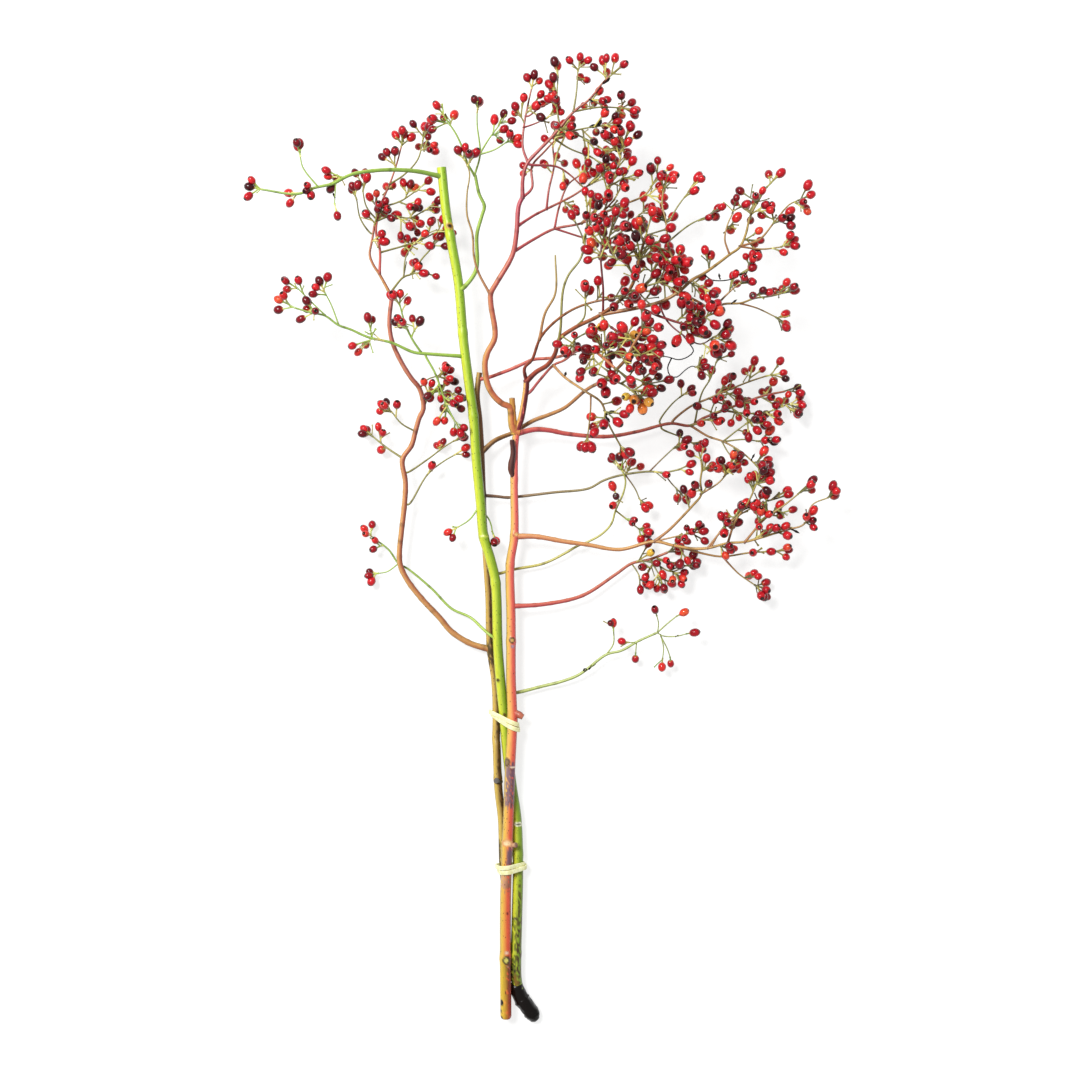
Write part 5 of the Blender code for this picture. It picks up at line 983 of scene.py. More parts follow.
class Tone(Enum):
    """Bark colours of a limb: root left, root right, tip left, tip right, and pore strength."""

    # The right-hand colours are partly the bark's own, partly painted shade for the flank away
    # from the light.
    CORAL_STEM = ("#E2BC42", "#DE5428", "#F2C068", "#E26064", 0.9)
    CORAL = ("#E2745C", "#B84048", "#CC7E58", "#9E5044", 0.25)
    CORAL_TO_TAN = ("#E8985C", "#BC5A40", "#D0AE52", "#9A7A3C", 0.25)
    PINK = ("#D0645E", "#983244", "#C87A56", "#8E4A3E", 0.2)
    DARK_RED = ("#9A3436", "#60121E", "#742826", "#4A1018", 0.2)
    TAN = ("#CE9460", "#9A5E3C", "#C4AE5C", "#8E8040", 0.35)
    KHAKI = ("#A89E52", "#6E6634", "#B4B05C", "#7A7A3C", 0.1)
    STRAW = ("#DCD070", "#A89C48", "#D8D478", "#9CA04C", 0.1)
    GREEN_STEM = ("#DADC38", "#7A961C", "#E0EC3E", "#8AB428", 0.8)
    LIME = ("#C2DC5C", "#8CB048", "#B4D060", "#7E9E44", 0.15)
    OLIVE_STEM = ("#DEC254", "#5A3A14", "#D2A654", "#6E4628", 0.8)
    OCHRE = ("#EAC268", "#A85A34", "#D87E5C", "#8E3E44", 0.5)
    BLACK = ("#120C0A", "#0A0706", "#1C120E", "#100A08", 0.0)
    GREY_BARK = ("#947A7C", "#6C4856", "#8E7074", "#70485A", 0.6)
    YELLOW = ("#DDB84A", "#C98A3A", "#D9A84E", "#B87A3C", 0.5)
    FOOT_BARK = ("#DCB62C", "#B03A14", "#D8B832", "#54100A", 0.6)
    SPECKLED = ("#C8946C", "#8A4A38", "#D8A880", "#A0604C", 1.0)
    DARK_STREAK = ("#5E4410", "#3A240A", "#54460E", "#33260A", 0.2)
    MOSSY = ("#66701A", "#4E4012", "#849022", "#605416", 0.3)
    KNOT = ("#6A5640", "#33271C", "#7A6650", "#3A2E22", 0.3)
    PALE_GREEN = ("#CCD67C", "#98A856", "#BECB74", "#8E9E50", 0.15)
    ROSY = ("#E8C45C", "#CC7248", "#D45C68", "#982E48", 0.3)
    BROWN = ("#B04830", "#661418", "#AC7A40", "#6A4A22", 0.25)
    BUFF = ("#B88A4C", "#5E3E20", "#DE9868", "#9A6040", 0.3)
    APRICOT = ("#F0B070", "#C0684C", "#D0AE52", "#9A7A3C", 0.25)
    DRIFT = ("#9A6E54", "#5E4034", "#B4B068", "#84844C", 0.2)
    DEAD_WOOD = ("#7A4434", "#3E1A18", "#6A3A2E", "#3A1416", 0.3)
    AMBER = ("#8A6A1C", "#6E4A12", "#8A6A1C", "#6E4A12", 0.1)


# ---------------------------------------------------------------- modelling
def smooth_route(limb: Limb, step: float) -> tuple[np.ndarray, np.ndarray]:
    """Round a limb's route off into a smooth line (centripetal Catmull-Rom).

    Args:
        limb: The limb whose points the line runs through.
        step: Distance between samples (mm).

    Returns:
        The sampled points, and each sample's share of the route.
    """
    points = np.array(limb.route, float)
    ends = np.vstack((2 * points[0] - points[1], points, 2 * points[-1] - points[-2]))
    shares = route_shares(limb.route)
    line: list[np.ndarray] = []
    places: list[float] = []
    for i in range(len(points) - 1):
        p0, p1, p2, p3 = ends[i : i + 4]
        count = max(1, round(float(np.linalg.norm(p2 - p1)) / step))
        t0 = 0.0
        t1 = t0 + math.sqrt(float(np.linalg.norm(p1 - p0)))
        t2 = t1 + math.sqrt(float(np.linalg.norm(p2 - p1)))
        t3 = t2 + math.sqrt(float(np.linalg.norm(p3 - p2)))
        for k in range(count):
            t = t1 + (t2 - t1) * k / count
            a1 = (t1 - t) / (t1 - t0) * p0 + (t - t0) / (t1 - t0) * p1
            a2 = (t2 - t) / (t2 - t1) * p1 + (t - t1) / (t2 - t1) * p2
            a3 = (t3 - t) / (t3 - t2) * p2 + (t - t2) / (t3 - t2) * p3
            b1 = (t2 - t) / (t2 - t0) * a1 + (t - t0) / (t2 - t0) * a2
            b2 = (t3 - t) / (t3 - t1) * a2 + (t - t1) / (t3 - t1) * a3
            line.append((t2 - t) / (t2 - t1) * b1 + (t - t1) / (t2 - t1) * b2)
            places.append(float(shares[i] + (shares[i + 1] - shares[i]) * k / count))
    line.append(points[-1])
    places.append(1.0)
    return np.array(line), np.array(places)


def deselect() -> None:
    """Deselect everything, as the loaded nodes and new primitives come selected."""
    for thing in bpy.context.view_layer.objects:
        thing.select_set(False)


def pick(thing: Thing) -> None:
    """Make one object the only one selected, and the active one."""
    deselect()
    thing.select_set(True)
    bpy.context.view_layer.objects.active = thing


def join(things: Sequence[Thing], name: str) -> Thing:
    """Join several meshes into one piece.

    Args:
        things: The objects, whose places are in their meshes.
        name: The joined piece's name.

    Returns:
        The piece.
    """
    deselect()
    for thing in things:
        thing.select_set(True)
    bpy.context.view_layer.objects.active = things[0]
    if len(things) > 1:
        bpy.ops.object.join()
    piece = bpy.context.view_layer.objects.active
    piece.name = name
    piece.data.name = name
    return piece


def settle(thing: Thing) -> None:
    """Put an object's place into its mesh."""
    pick(thing)
    bpy.ops.object.transform_apply(location=True, rotation=True, scale=True)


def bevelled(name: str, stems: Iterable[tuple[np.ndarray, Sequence[float]]],
             sides: int) -> Thing:
    """Draw round closed stems as bevelled curves and convert them to one mesh.

    Args:
        name: The object's name.
        stems: Each stem's points and radii (mm).
        sides: Faces round a stem: an even number, 4 or more.

    Returns:
        The object, alone selected, its caps not yet welded to its walls.
    """
    curve = bpy.data.curves.new(name, "CURVE")
    curve.dimensions = "3D"
    curve.use_fill_caps = True
    curve.bevel_depth = MM
    curve.bevel_resolution = (sides - 4) // 2
    for places, radii in stems:
        spline = curve.splines.new("POLY")
        spline.points.add(len(places) - 1)
        for point, place, radius in zip(spline.points, places, radii):
            point.co = (*(place * MM), 1.0)
            point.radius = radius
    pick(put(name, curve))
    bpy.ops.object.convert(target="MESH")
    return bpy.context.view_layer.objects.active


def put(name: str, data: bpy.types.ID) -> Thing:
    """Put a mesh or curve in the scene as an object."""
    thing = bpy.data.objects.new(name, data)
    bpy.context.scene.collection.objects.link(thing)
    return thing


def weld() -> None:
    """Weld the active object's caps to its walls and point its faces outwards."""
    bpy.ops.object.mode_set(mode="EDIT")
    bpy.ops.mesh.select_all(action="SELECT")
    bpy.ops.mesh.remove_doubles(threshold=WELD)
    bpy.ops.mesh.normals_make_consistent(inside=False)
    bpy.ops.object.mode_set(mode="OBJECT")


def soften(thing: Thing) -> None:
    """Shade an object smooth, but for its sharp edges."""
    pick(thing)
    bpy.ops.object.shade_smooth_by_angle(angle=SMOOTH_ANGLE)


def vertex_places(mesh: Mesh) -> np.ndarray:
    """Read where a mesh's vertices are, one row each (m)."""
    places = np.empty(len(mesh.vertices) * 3, np.float32)
    mesh.vertices.foreach_get("co", places)
    return places.reshape(-1, 3)


def flat(values: np.ndarray) -> np.ndarray:
    """Lay rows out as one run of numbers, as a mesh takes them."""
    return np.ascontiguousarray(values, np.float32).ravel()


def fetch(mesh: Mesh, name: str) -> np.ndarray:
    """Read an attribute, one row for each vertex."""
    key, width = ATTRIBUTES[name][1:]
    values = np.empty(len(mesh.vertices) * width, np.float32)
    mesh.attributes[name].data.foreach_get(key, values)
    return values.reshape(-1, width)


def store(mesh: Mesh, name: str, values: np.ndarray) -> None:
    """Store an attribute, one row for each vertex."""
    kind, key, _ = ATTRIBUTES[name]
    attribute = mesh.attributes.get(name) or mesh.attributes.new(name, kind, "POINT")
    attribute.data.foreach_set(key, flat(values))


def blend_tone(tone: Tone, share: np.ndarray, side: np.ndarray) -> np.ndarray:
    """Mix a tone's four colours over a stem.

    Args:
        tone: The bark's colours.
        share: From 0 at the root to 1 at the tip, for each vertex.
        side: From 0 on the left flank to 1 on the right, for each vertex.

    Returns:
        Red, green, blue and pore strength for each vertex.
    """
    corners = [np.array(linear(tone.value[i])) for i in range(4)]
    side = side[:, None]
    share = share[:, None]
    root = corners[0] * (1 - side) + corners[1] * side
    tip = corners[2] * (1 - side) + corners[3] * side
    colour = root * (1 - share) + tip * share
    return np.hstack((colour, np.full((len(colour), 1), tone.value[4])))


def paint_stem(thing: Thing, line: np.ndarray, shares: np.ndarray, tone: Tone) -> None:
    """Give a stem its colour, with painted shade, and its straightened grain.

    Args:
        thing: The stem.
        line: Its centre line (mm).
        shares: Each centre point's share of the route.
        tone: Its colours.
    """
    mesh = thing.data
    co = vertex_places(mesh) / MM
    near = np.empty(len(co), int)
    for start in range(0, len(co), NEAR_BATCH):
        part = co[start : start + NEAR_BATCH, None, :]
        near[start : start + NEAR_BATCH] = ((part - line[None]) ** 2).sum(2).argmin(1)
    runs = np.gradient(line, axis=0)
    runs = unit(runs)
    out = co - line[near]
    across = unit(np.cross(runs[near], (0.0, 0.0, 1.0)))
    upward = np.cross(across, runs[near])
    width = np.maximum(np.linalg.norm(out, axis=1), 1e-6)
    flat_x = (out * across).sum(1)
    flat_z = (out * upward).sum(1)
    # Painted shade: the flank away from the painted light takes the darker right-hand colours,
    # partly the bark's own.
    side = 0.5 + 0.5 * np.clip(SHADE_SHIFT - SHADE_STEEP * (out @ BLUSH_AND_PAINTED_LIGHT_FROM) / width, -1.0, 1.0)
    lengths = run_lengths(line)
    along_stem = lengths[near]
    tints = blend_tone(tone, shares[near], side)
    # Painted shade on the flanks and underside; the thin twigs' dark roots and the rings are the
    # bark's own.
    bark_painted_shade_and_joints = painted_flank_shade(flat_x / width, flat_z / width)
    if width.mean() < THIN_TWIG:
        bark_painted_shade_and_joints *= np.clip(0.25 + along_stem / 3.0, 0.0, 1.0)
    if width.mean() < STEM_GIRTH:
        # The bark is darkest just past each ring.
        bark_painted_shade_and_joints *= 1.0 - 0.5 * np.exp(-((((along_stem / KNEE_SPACING) % 1.0 - 0.54) / 0.04) ** 2))
    tints[:, :3] *= bark_painted_shade_and_joints[:, None]
    store(mesh, "tint", tints)
    store(mesh, "grain", np.stack((flat_x, flat_z, along_stem + line[0, 1]), axis=1))


def unit(rows: np.ndarray) -> np.ndarray:
    """Give each row the length 1."""
    return rows / np.maximum(np.linalg.norm(rows, axis=1, keepdims=True), 1e-9)


def painted_flank_shade(across: np.ndarray, upward: np.ndarray) -> np.ndarray:
    """Give the bark's painted shade: darker on the flanks and underneath, as if out of the light.
    """
    return (1.0 - 0.6 * np.abs(across) ** 7) * np.where(upward < -0.1, UNDERSIDE_PAINTED_SHADE, 1.0)


@dataclass(frozen=True)
class Joint:
    """A swollen ring on a stem, where a leaf or twig grew."""

    y: float            # where the ring is (mm)
    swell: float        # how far it stands out (mm)
    length: float       # how long the swelling is (mm)


@dataclass(frozen=True)
class Scar:
    """A mark on a stem: a leaf scar with a dark rim, a bud, or a plain fleck."""

    y: float            # its centre along Y (mm)
    turn: float         # round the stem, 0 on top and 90 on the right flank (degrees)
    width: float        # round the stem (mm)
    height: float       # along the stem (mm)
    rim: str            # colours
    heart: str
    rise: float = 0.0   # how far its rim stands out (mm)
    corner: float = 2.0     # 1 is a diamond, 2 an oval

    def reach(self, turns: np.ndarray, heights: np.ndarray, width: np.ndarray) -> np.ndarray:
        """Give each vertex's distance from the centre, as a share of the mark's half size."""
        round_way = np.radians((turns - self.turn + 180.0) % 360.0 - 180.0) * width
        across = np.abs(round_way) / (self.width / 2)
        up = np.abs(heights - self.y) / (self.height / 2)
        return (across**self.corner + up**self.corner) ** (1.0 / self.corner)


@dataclass(frozen=True)
class Stain:
    """A stretch of a stem whose bark has another colour."""

    low: float          # its ends along Y (mm)
    high: float
    tone: Tone
    side: float         # centre of the stained flank, from 0 left to 1 right
    spread: float       # half width of the flank that it covers
    patchy: float = 0.0     # how much of the bark shows through, from 0 to 1


class HipModel:
    """One hip, modelled once and copied: an oval fruit with a dried ring at its tip."""

    SEGMENTS = 10
    RINGS = 8
    HIP_PAINTED_SHADE_DEPTH = 0.42       # painted shade: how much less ripe, and so darker, the lower side is

    def __init__(self, name: str, shoulder: float, tip: float) -> None:
        """Model the hip in edit mode.

        Args:
            name: The model's name.
            shoulder: Scale of the part towards the stalk; under 1 makes a pear.
            tip: Scale of the part towards the tip.
        """
        deselect()
        bpy.ops.mesh.primitive_uv_sphere_add(
            segments=self.SEGMENTS, ring_count=self.RINGS, radius=1.0, location=(0, 0, 0))
        self.thing = bpy.context.view_layer.objects.active
        self.thing.name = name
        bpy.ops.object.mode_set(mode="EDIT")
        self.scale_band(-0.95, -0.5, shoulder)
        self.scale_band(0.5, 0.95, tip)
        self.choose(lambda z: z > 0.9)
        bpy.ops.mesh.inset(thickness=0.07, depth=0.0)
        bpy.ops.transform.translate(value=(0, 0, -0.09))
        self.choose()
        bpy.ops.transform.translate(value=(0, 0, 0.15))
        bpy.ops.mesh.select_all(action="SELECT")
        bpy.ops.mesh.normals_make_consistent(inside=False)
        bpy.ops.object.mode_set(mode="OBJECT")
        bpy.ops.object.shade_smooth()

    def choose(self, test: Callable[[float], bool] | None = None) -> None:
        """Select the faces whose corners' heights pass a test, or the vertex at the tip."""
        at_tip = test is None
        shape = bmesh.from_edit_mesh(self.thing.data)
        shape.select_mode = {"VERT"} if at_tip else {"FACE"}
        bpy.context.tool_settings.mesh_select_mode = (at_tip, False, not at_tip)
        for part in (*shape.faces, *shape.verts):
            part.select_set(False)
        if at_tip:
            # The dented tip is no longer the highest, but still the nearest to the axis.
            tip = min(shape.verts, key=lambda v: (v.co.x**2 + v.co.y**2) + (v.co.z < 0) * 9)
            tip.select_set(True)
        else:
            for face in shape.faces:
                face.select_set(all(test(v.co.z) for v in face.verts))
        bmesh.update_edit_mesh(self.thing.data)

    def scale_band(self, low: float, high: float, scale: float) -> None:
        """Widen or narrow the rings between two heights."""
        shape = bmesh.from_edit_mesh(self.thing.data)
        bpy.context.tool_settings.mesh_select_mode = (True, False, False)
        shape.select_mode = {"VERT"}
        for vert in shape.verts:
            vert.select_set(low < vert.co.z < high)
        bmesh.update_edit_mesh(self.thing.data)
        bpy.ops.transform.resize(value=(scale, scale, 1.0), center_override=(0, 0, 0))

    def copy(self, hip: Hip, ripe: float, own: float, spin: float) -> Thing:
        """Hang one copy in its place.

        Args:
            hip: Where it hangs.
            ripe: Its ripeness, from 0 nearly black to 1 still yellow.
            own: A number of its own, for its gloss.
            spin: How far it is turned about its axis (radians).

        Returns:
            The copy, with its place in its mesh.
        """
        mesh = self.thing.data.copy()
        length = vertex_places(mesh)[:, 2] * 0.5 + 0.5
        width = hip.radius * MM
        turn = Vector((0.0, 0.0, 1.0)).rotation_difference(hip.axis).to_matrix().to_4x4()
        size = Matrix.Diagonal((width, width, width * hip.stretch, 1.0))
        mesh.transform(turn @ Matrix.Rotation(spin, 4, "Z") @ size)
        # Painted shade: each hip's lower side is made less ripe and so darker, but a hip that
        # never ripened is even.
        hip_painted_shade = np.clip((0.75 - vertex_places(mesh)[:, 2] / width) / 1.1, 0.0, 1.0)
        ripeness = np.clip(ripe - self.HIP_PAINTED_SHADE_DEPTH * hip_painted_shade * (ripe < 0.94), 0.0, 1.0)
        even = np.ones(len(length))
        store(mesh, "berry", np.stack((ripeness, length, own * even, even), 1))
        mesh.transform(Matrix.Translation(hip.centre * MM))
        return put("hip", mesh)


@dataclass
class Cane:
    """One cane dressed: bark on its stem, limbs and stalks, and its hips."""

    node: str
    slot: str
    bark: Bark
    tones: dict[str, Tone]              # by limb name; a key ending in * is how names start
    stalks: Tone
    joints: tuple[Joint, ...] = ()
    stains: tuple[Stain, ...] = ()
    scars: tuple[Scar, ...] = ()
    step: float = 2.6                   # between rings of a limb (mm)
    stem_step: float = 1.2              # between rings of the stem (mm)
    stem_sides: int = 36
    limb_sides: int = 12
    twig_sides: int = 8
    ripeness: tuple[float, float] = (0.5, 0.2)

    def tone_of(self, name: str) -> Tone:
        """Find the tone of a limb by its name."""
        if name in self.tones:
            return self.tones[name]
        starts = [key for key in self.tones if key.endswith("*") and name.startswith(key[:-1])]
        return self.tones[max(starts, key=len)]

    def radii(self, limb: Limb, line: np.ndarray, shares: np.ndarray) -> np.ndarray:
        """Give a limb's radius at each sample, with its flared root or swollen rings."""
        radii = np.array([girth_at(limb, share) for share in shares])
        if limb is CANES[self.node][0]:
            for joint in self.joints:
                radii += joint.swell * np.exp(-(((line[:, 1] - joint.y) / joint.length) ** 2))
            radii[:2] *= STEM_END
            return radii
        lengths = run_lengths(line)
        flare = (0.0 if limb.name in KNOBBY else FLARE) * np.exp(-lengths / (2.2 * radii[0]))
        knees = KNEE_SWELL * np.exp(-((((lengths / KNEE_SPACING) % 1.0) - 0.5) / 0.07) ** 2)
        return radii * (1.0 + flare + knees)

    def grow_limb(self, limb: Limb) -> Thing:
        """Make one limb's tube and paint it.

        Args:
            limb: The limb.

        Returns:
            Its object.
        """
        thick = limb.girth[0]
        is_stem = limb is CANES[self.node][0]
        line, shares = smooth_route(limb, self.stem_step if thick > STEM_GIRTH else self.step)
        radii = self.radii(limb, line, shares)
        if not is_stem:
            # The root goes on into what carries it; the heel's end is free and rounds off.
            sunk, end = (0.3, 0.55) if limb.name == "heel" else (0.7, 1.0)
            run = line[1] - line[0]
            start = line[0] - run / np.linalg.norm(run) * thick * sunk
            line = np.vstack((start, line))
            shares = np.concatenate(([0.0], shares))
            radii = np.concatenate((radii[:1] * end, radii))
        sides = self.stem_sides if thick > STEM_GIRTH else self.limb_sides
        if thick < TWIG_GIRTH:
            sides = self.twig_sides
        thing = bevelled(limb.name, [(line, radii)], sides)
        weld()
        paint_stem(thing, line, shares, self.tone_of(limb.name))
        if is_stem:
            self.stain(thing.data)
            self.scar(thing.data, line)
        if limb.name in KNOBBY:
            self.gnarl(thing.data, KNOBBY[limb.name])
        return thing

    def scar(self, mesh: Mesh, line: np.ndarray) -> None:
        """Mark the stem's scars, buds and flecks, and raise their rims.

        Args:
            mesh: The stem's mesh.
            line: Its centre line (mm).
        """
        co = vertex_places(mesh)
        heights = co[:, 1] / MM
        grain = fetch(mesh, "grain")
        turns = np.degrees(np.arctan2(grain[:, 0], grain[:, 1]))
        width = np.hypot(grain[:, 0], grain[:, 1])
        tint = fetch(mesh, "tint")
        lift = np.zeros(len(co))
        for scar in self.scars:
            reach = scar.reach(turns, heights, width)
            for colour, outer in ((scar.rim, 1.0), (scar.heart, 0.6)):
                cover = np.clip((outer - reach) / 0.25 + 0.5, 0.0, 1.0)[:, None]
                tint = tint * (1.0 - cover) + np.array((*linear(colour), 0.3)) * cover
            lift += scar.rise * np.exp(-(((reach - 0.85) / 0.35) ** 2))
        centre = np.array([line[np.argmin(np.abs(line[:, 1] - y))] for y in heights]) * MM
        out = co - centre
        out[:, 1] = 0.0
        co += unit(out) * (lift * MM)[:, None]
        mesh.vertices.foreach_set("co", flat(co))
        store(mesh, "tint", tint)

    def gnarl(self, mesh: Mesh, depth: float) -> None:
        """Make a piece of old wood knobby, in and out by about a depth (mm)."""
        for vert in mesh.vertices:
            place = vert.co / MM
            bump = noise.noise(place * 0.33) + 0.6 * noise.noise(place * 0.8)
            vert.co += vert.normal * bump * depth * MM

    def stain(self, mesh: Mesh) -> None:
        """Lay the stained stretches over the stem's colour, with ragged ends."""
        height = vertex_places(mesh)[:, 1] / MM
        grain = fetch(mesh, "grain")
        side = 0.5 + 0.5 * grain[:, 0] / np.maximum(np.hypot(grain[:, 0], grain[:, 1]), 1e-6)
        tint = fetch(mesh, "tint")
        ragged = 1.6 * np.sin(side * 19.0) + 0.9 * np.sin(side * 47.0 + 1.0)
        clouds = np.array([2.2 * noise.noise(Vector((x * 0.8, z * 0.8, run * 0.3)))
                           for x, z, run in grain])
        for stain in self.stains:
            inside = np.minimum(height - stain.low + ragged, stain.high - height + ragged)
            cover = np.clip(inside / 1.5, 0.0, 1.0)
            cover *= np.clip((stain.spread - np.abs(side - stain.side)) / 0.12, 0.0, 1.0)
            cover *= np.clip((clouds - 2.0 * stain.patchy + 1.0) / 0.3, 0.0, 1.0)
            share = np.clip((height - stain.low) / (stain.high - stain.low), 0.0, 1.0)
            # Each stain too is darker towards its right flank: partly its colour, partly painted
            # shade.
            over = blend_tone(stain.tone, share, np.clip(1.7 * side - 0.35, 0.0, 1.0))
            tint = tint * (1.0 - cover[:, None]) + over * cover[:, None]
        store(mesh, "tint", tint)

    def grow_stalks(self, hips: Sequence[Hip], draw: random.Random) -> Thing:
        """Make every hip's stalk, slim and a little bowed, as one mesh.

        Args:
            hips: The hips.
            draw: The draws for bows and shades.

        Returns:
            The stalks' object.
        """
        stalks = []
        for hip in hips:
            neck = hip.centre - hip.axis * hip.radius * hip.stretch * 0.9
            stalks.append(self.bowed(hip.root, neck, STALK_RADII, draw))
            if draw.random() < BARE_SHARE:
                start = hip.root.lerp(neck, draw.uniform(0.15, 0.6))
                lean = math.radians(draw.uniform(25.0, 65.0))
                heading = lean_away(hip.axis, lean, draw.uniform(0.0, math.tau))
                end = start + heading * draw.uniform(4.0, 11.0)
                end.z = max(end.z, 1.0)
                stalks.append(self.bowed(start, end, BARE_RADII, draw))
        thing = bevelled("stalks", [stalk[:2] for stalk in stalks], STALK_SIDES)
        self.paint_stalks(thing.data, stalks)
        weld()
        return thing

    def bowed(self, start: Vector, end: Vector, radii: Sequence[float],
              draw: random.Random) -> tuple[np.ndarray, Sequence[float], float]:
        """Draw one stalk's places and radii, bowed a little, and a shade of its own."""
        run = end - start
        bow = run.orthogonal().normalized()
        bow.rotate(Matrix.Rotation(draw.uniform(0.0, math.tau), 3, run.normalized()))
        bow *= run.length * draw.uniform(0.0, STALK_BOW)
        places = [tuple(start + run * t + bow * math.sin(math.pi * t)) for t in STALK_STOPS]
        return np.array(places), radii, draw.random()

    def paint_stalks(self, mesh: Mesh, stalks: Sequence[tuple]) -> None:
        """Colour each stalk, from the limb's shade at its root to its own at the hip, with painted
        shade on one side.
        """
        co = vertex_places(mesh) / MM
        tints = np.zeros((len(co), 4))
        grains = np.zeros((len(co), 3))
        block = len(co) // len(stalks)
        for index, (places, _, shade) in enumerate(stalks):
            rows = slice(index * block, (index + 1) * block)
            run = places[-1] - places[0]
            offset = co[rows] - places[0]
            share = np.clip((offset @ run) / (run @ run), 0.0, 1.0)
            # Painted shade: the side away from the painted light takes the darker colours.
            toward_painted_light = (offset - share[:, None] * run) @ BLUSH_AND_PAINTED_LIGHT_FROM
            side = 0.5 + 0.5 * np.clip(-1.7 * toward_painted_light, -1.0, 1.0)
            tone = Tone.STRAW if shade > STRAW_FROM else self.stalks
            tints[rows] = blend_tone(tone, share, side)
            tints[rows, :3] *= 0.62 + 0.5 * shade
            length = share * np.linalg.norm(run) + 17.0 * shade
            grains[rows] = np.stack((offset[:, 0], offset[:, 2], length), 1)
        store(mesh, "tint", tints)
        store(mesh, "grain", grains)

    def hang_hips(self, hips: Sequence[Hip], models: Sequence[HipModel], skin: Material,
                  draw: random.Random) -> Thing:
        """Hang a copy of a hip model at every stalk's end.

        Args:
            hips: Where they hang.
            models: The models to copy in turn.
            skin: Their material.
            draw: The draws for ripeness and turn.

        Returns:
            The joined hips.
        """
        copies = []
        for hip in hips:
            if not hip.leads and draw.random() < FALLEN_SHARE:
                continue
            ripe = min(0.93, max(0.03, draw.gauss(*self.ripeness)))
            if hip.limb in UNRIPE and draw.random() < UNRIPE[hip.limb]:
                ripe = draw.uniform(0.95, 1.0)
            model = models[int(draw.random() * len(models))]
            copies.append(model.copy(hip, ripe, draw.random(), draw.uniform(0.0, math.tau)))
        piece = join(copies, f"{self.node}_hips")
        piece.data.materials.clear()
        piece.data.materials.append(skin)
        return piece

    def build(self, crown: Crown, models: Sequence[HipModel], skin: Material) -> None:
        """Build the cane's wood and hips and put them on the frame.

        Args:
            crown: Where every hip hangs.
            models: The hip models.
            skin: The hips' material.
        """
        draw = random.Random(f"{SEED} {self.node}")
        hips = crown.hips[self.node]
        stems = [self.grow_limb(limb) for limb in CANES[self.node] + TWIGS[self.node]]
        stems.append(self.grow_stalks(hips, draw))
        wood = join(stems, f"{self.node}_wood")
        lie_flat(wood)
        wood.data.materials.clear()
        wood.data.materials.append(self.bark.dress())
        soften(wood)
        fruit = self.hang_hips(hips, models, skin, draw)
        lie_flat(fruit)
        for piece in (wood, fruit):
            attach(piece, "root")
            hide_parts(self.node)
            LOG.info("%s: %d faces", piece.name, len(piece.data.polygons))


def lie_flat(thing: Thing) -> None:
    """Flatten what would go below the surface that the bundle lies on."""
    for vert in thing.data.vertices:
        vert.co.z = max(vert.co.z, 0.0)


